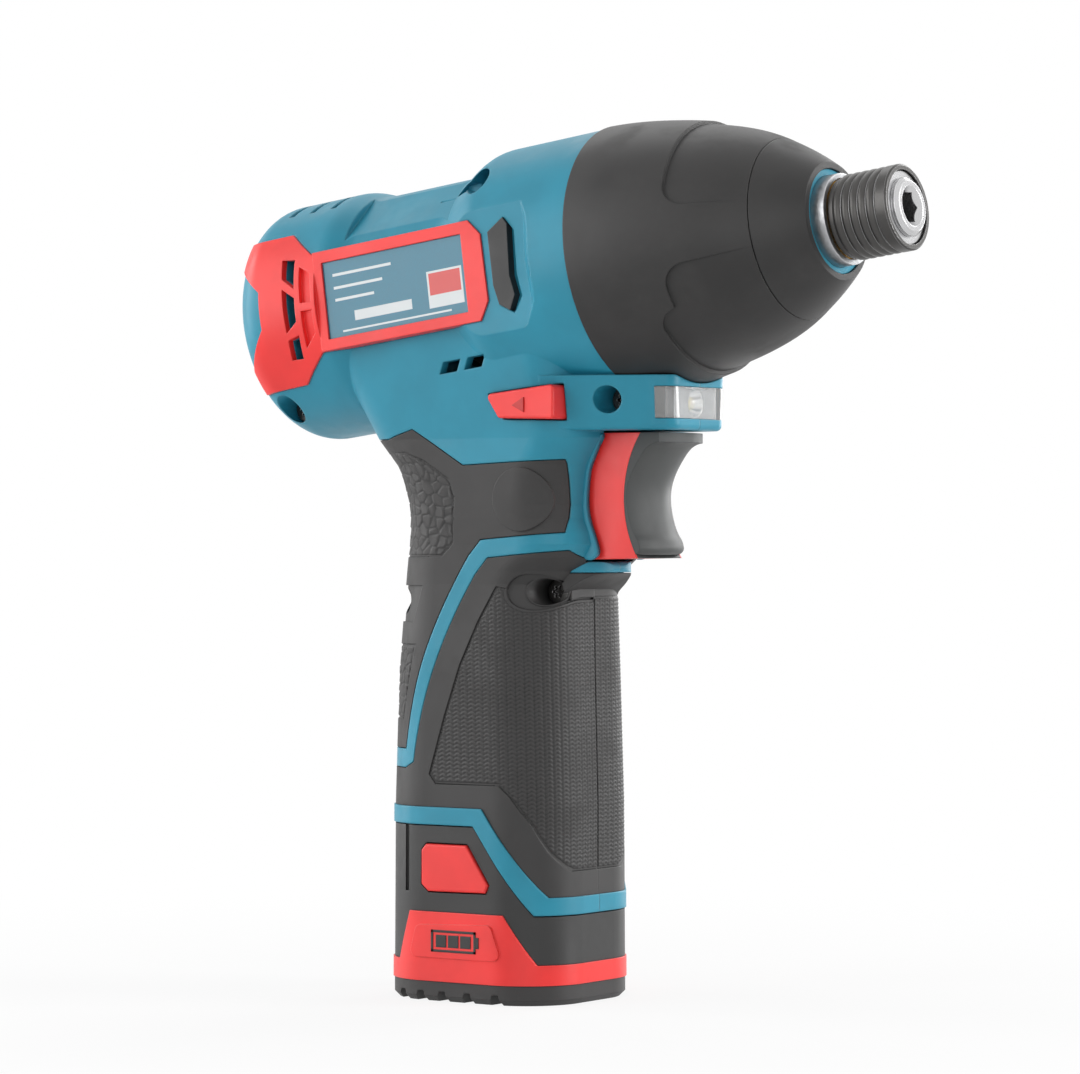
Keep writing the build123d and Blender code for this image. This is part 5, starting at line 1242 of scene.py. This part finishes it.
@dataclass(frozen=True)
class CoilSpring:
    """A compression spring, coiled between two faces.

    Its line starts at a point of the tool and rises by a pitch angle; faces are stations along it.
    """

    node: str
    joint: str
    body: str
    finish: Finish
    mean_r: float
    wire_r: float
    faces: Pair
    turns: int
    travel: float
    seat: float
    origin: Point = BARREL_POINT
    pitch: float = BARREL_PITCH
    steps: int = 48
    sides: int = 14

    def axes(self) -> Array:
        """Along the spring, to the left and up from it, as rows."""
        run, rise = math.cos(self.pitch), math.sin(self.pitch)
        return np.array([[run, 0.0, rise], [0.0, 1.0, 0.0], [-rise, 0.0, run]])

    def build(self) -> Piece:
        """Build the coil and hide its node.

        The middle line turns evenly about the spring's axis while it goes from one face to the other. Round
        each of its points the wire is a circle across the line, spanned by the way out and the way square to
        both. Each end closes on its middle.

        Returns:
            The coil, which stands for its node.
        """
        turn = np.linspace(0.0, 2 * np.pi * self.turns, self.steps * self.turns + 1)[:, None]
        low, high = self.faces[0] + self.wire_r, self.faces[1] - self.wire_r
        rise = (high - low) / turn[-1, 0]
        none = np.zeros_like(turn)
        outward = np.concatenate([none, np.cos(turn), np.sin(turn)], 1)
        onward = np.concatenate([none + rise, -self.mean_r * np.sin(turn), self.mean_r * np.cos(turn)], 1)
        square = np.cross(onward / np.linalg.norm(onward, axis=1, keepdims=True), outward)
        line = np.concatenate([low + rise * turn, none, none], 1) + self.mean_r * outward
        around = circle(self.sides)[None, :, None]
        spoke = np.cos(around) * outward[:, None] + np.sin(around) * square[:, None]
        wire = line[:, None] + self.wire_r * spoke
        first, last = (np.broadcast_to(line[i], wire[:1].shape) for i in (0, -1))
        points = np.concatenate([first, wire, last]) @ self.axes() + np.array(self.origin)
        piece = grid_piece(f"{self.node}_coil", points)
        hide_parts(self.node)
        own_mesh(piece)
        return piece


@dataclass
class Drive(Assembly):
    """Motor, planetary stage and impact mechanism inside the barrel, and the tool's springs."""

    springs: tuple[CoilSpring, ...] = (
        CoilSpring("hammer_spring", "hammer_retract", "spindle", DARK_STEEL, 11.6, 1.2, (22.4, 42.0), 4, 8.0,
                   22.4),
        CoilSpring("sleeve_spring", "sleeve_slide", "anvil", STEEL, 7.3, 0.35, (89.4, 96.2), 3, 3.2, 96.2),
        CoilSpring("trigger_spring", "trigger_pull", "trigger", STEEL, 3.3, 0.35, (13.0, 22.0), 4, 6.0, 22.0,
                   origin=(0.0, 0.0, 115.0), pitch=0.0),
    )
    looks: Looks = (
        (DARK_STEEL, ["motor_can", "hammer", "hammer_spring", "ring_gear", "sun_pinion", "planet_gear_1",
                     "planet_gear_2", "planet_gear_3"]),
        (STEEL, ["motor_shaft", "spindle", "planet_pins", "cam_balls", "motor_bearings", "spindle_bearing"]),
        (BLACK, ["motor_end_bell", "cooling_fan", "gear_plate"]),
        (MAGNET, ["motor_magnets", "motor_brushes"]),
        (BRASS, ["commutator"]),
        (COPPER, ["armature"]),
    )

    def build(self) -> None:
        """Build the springs."""
        for spring in self.springs:
            self.dresser.add(spring.build(), spring.finish, spring.body, spring.finish.name)


@dataclass
class Battery(Assembly):
    """Stick battery with its skirt, foot and release buttons."""

    sign_middle: Pair = (0.0, 13.9)
    sign_half: Pair = (6.2, 2.5)
    sign_line: float = 0.55
    sign_levels: int = 3
    sign_root: float = 0.4
    sign_proud: float = 0.12
    looks: Looks = (
        (GREY, ["battery_shell"]),
        (RED, ["battery_skirt", *both_sides("latch_button")]),
        (FOOT, ["battery_foot"]),
        (CELL, ["battery_cells"]),
        (BRASS, ["battery_terminals"]),
    )

    def bars(self) -> list[Four]:
        """The strokes of a battery sign as low X, high X, low Z, high Z: frame, pole and charge levels."""
        (x, z), (wide, high), line = self.sign_middle, self.sign_half, self.sign_line
        back, front, sole, top = x - wide, x + wide, z - high, z + high
        strokes = [(back, front, top - line, top), (back, front, sole, sole + line)]
        strokes += [(end, end + line, sole, top) for end in (back, front - line)]
        strokes.append((front, front + 1.5 * line, z - high / 2, z + high / 2))
        pitch = (2 * wide - 4 * line) / self.sign_levels
        starts = [back + 2.5 * line + pitch * level for level in range(self.sign_levels)]
        return strokes + [(start, start + pitch - line, sole + 2 * line, top - 2 * line) for start in starts]

    def build(self) -> None:
        """Build the battery sign on both sides of the skirt: each stroke a low block."""
        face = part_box("battery_skirt")[1][1] / MM
        outlines = [((a, c), (b, c), (b, d), (a, d)) for a, b, c, d in self.bars()]
        for side, way in SIDES.items():
            ends = (way * (face - self.sign_root), way * (face + self.sign_proud))
            grids = [raised(outline, *ends) for outline in outlines]
            piece = grid_piece(f"{side}_battery_sign", *grids, smooth=False)
            self.dresser.add(piece, BLACK, "battery", "grey_plastic")


def aimed(piece: Piece, aim: Vector, azimuth: float, elevation: float, distance: float) -> None:
    """Set a lamp or the camera on an arc round a point, turned to it.

    Args:
        piece: the lamp or camera.
        aim: the point, in metres.
        azimuth: degrees from the tool's right side towards its nose.
        elevation: degrees above the point.
        distance: metres from the point.
    """
    around, up = math.radians(azimuth), math.radians(elevation)
    way = Vector((math.sin(around) * math.cos(up), -math.cos(around) * math.cos(up), math.sin(up)))
    piece.location = aim + way * distance
    piece.rotation_euler = (-way).to_track_quat("-Z", "Y").to_euler()


@dataclass(frozen=True)
class Softbox:
    """A rectangular studio lamp on an arc round the tool, in degrees, metres and watts."""

    name: str
    azimuth: float
    elevation: float
    distance: float
    width: float
    height: float
    power: float

    def build(self, aim: Vector) -> None:
        """Add the lamp, turned to the aim."""
        lamp = bpy.data.lights.new(self.name, "AREA")
        lamp.shape = "RECTANGLE"
        lamp.size, lamp.size_y, lamp.energy = self.width, self.height, self.power
        aimed(placed(self.name, lamp), aim, self.azimuth, self.elevation, self.distance)
        LOG.info("lamp %s", self.name)


@dataclass
class Studio:
    """White studio: floor, world, soft lamps and the camera at the photograph's angle."""

    azimuth: float = 34.6
    distance: float = 0.960
    aim: Point = (0.0084, 0.0, 0.1057)
    lens: float = 139.13
    sensor: float = 36.0
    clip: Pair = (0.01, 20.0)
    ambient: float = 0.22
    floor_rings: tuple[float, ...] = (0.0, 100.0, 250.0, 500.0, 1000.0, 2000.0, 4000.0)
    floor_sides: int = 64
    paper: Pair = (0.80, 0.84)
    glow_span: Pair = (0.05, 0.3)
    glow: Pair = (0.86, 1.0)
    lamps: tuple[Softbox, ...] = (
        Softbox("left_rim", -75.0, 10.0, 1.3, 0.6, 1.3, 11.0),
        Softbox("left_key", -35.0, 12.0, 1.3, 0.7, 1.2, 8.0),
        Softbox("front_fill", 30.0, 12.0, 1.4, 1.0, 1.0, 4.0),
        Softbox("right_back", 175.0, 12.0, 1.3, 0.6, 1.3, 11.0),
        Softbox("right_rim", 116.0, 8.0, 1.3, 0.5, 1.3, 18.0),
        Softbox("top_softbox", 30.0, 80.0, 1.3, 1.0, 1.0, 1.0),
        Softbox("top_rim", 215.0, 55.0, 1.4, 1.0, 0.8, 2.6),
    )

    def build(self) -> None:
        """Build lamps, world, floor and camera."""
        for lamp in self.lamps:
            lamp.build(Vector(self.aim))
        self._world()
        self._floor()
        self._camera()
        bpy.context.scene.view_settings.view_transform = "Standard"

    @staticmethod
    def _seen(graph: Graph) -> Socket:
        """One for rays from the camera, off gloss and through clear pieces, nought for the rest."""
        path = graph.node("LightPath").outputs
        indirect = graph.math("MAXIMUM", path["Is Glossy Ray"], path["Is Transmission Ray"])
        return graph.math("MAXIMUM", path["Is Camera Ray"], indirect)

    def _world(self) -> None:
        """A world that is white to the camera and a soft fill to the rest."""
        world = bpy.data.worlds.new("studio")
        bpy.context.scene.world = world
        graph = Graph.emptied(world)
        strength = graph.ramp(self._seen(graph), (0.0, 1.0), (self.ambient, 1.0))
        back = graph.node("Background", {"Color": WHITE, "Strength": strength})
        graph.node("OutputWorld", {"Surface": back.outputs[0]})

    def _floor(self) -> None:
        """A pale round floor whose far part goes over to the white of the backdrop."""
        turn, rings = circle(self.floor_sides), np.array(self.floor_rings)
        flat = [np.outer(rings, np.cos(turn)), np.outer(rings, np.sin(turn))]
        floor = grid_piece("floor", np.stack([*flat, np.zeros_like(flat[0])], -1))
        made = bpy.data.materials.new("floor_paper")
        graph = Graph.emptied(made)
        place = graph.node("TexCoord").outputs["Object"]
        grain = graph.noise(place, scale=40.0, detail=3.0)
        paper = graph.tint(grain, *((tone, tone, tone, 1.0) for tone in self.paper))
        matt = graph.node("BsdfDiffuse", {"Color": paper})
        glow = graph.node("Emission", {"Color": WHITE, "Strength": 1.0})
        away = graph.node("VectorMath", {0: place}, operation="LENGTH").outputs["Value"]
        share = graph.math("MULTIPLY", self._seen(graph), graph.ramp(away, self.glow_span, self.glow))
        mixed = graph.node("MixShader", {0: share, 1: matt.outputs[0], 2: glow.outputs[0]})
        graph.node("OutputMaterial", {"Surface": mixed.outputs[0]})
        floor.data.materials.append(made)

    def _camera(self) -> None:
        """The camera, level with the middle of the tool."""
        camera = bpy.data.cameras.new("camera")
        camera.lens, camera.sensor_width, camera.sensor_fit = self.lens, self.sensor, "HORIZONTAL"
        camera.clip_start, camera.clip_end = self.clip
        piece = placed("camera", camera)
        aimed(piece, Vector(self.aim), self.azimuth, 0.0, self.distance)
        bpy.context.scene.camera = piece


def main() -> None:
    """Build and dress every sub-assembly, then the studio."""
    dresser = Dresser()
    for kind in (Housing, Head, Controls, Drive, Battery):
        assembly = kind(dresser)
        assembly.build()
        assembly.dress()
    Studio().build()
    LOG.info("%d nodes dressed", len(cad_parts))


if __name__ == "__main__":
    main()
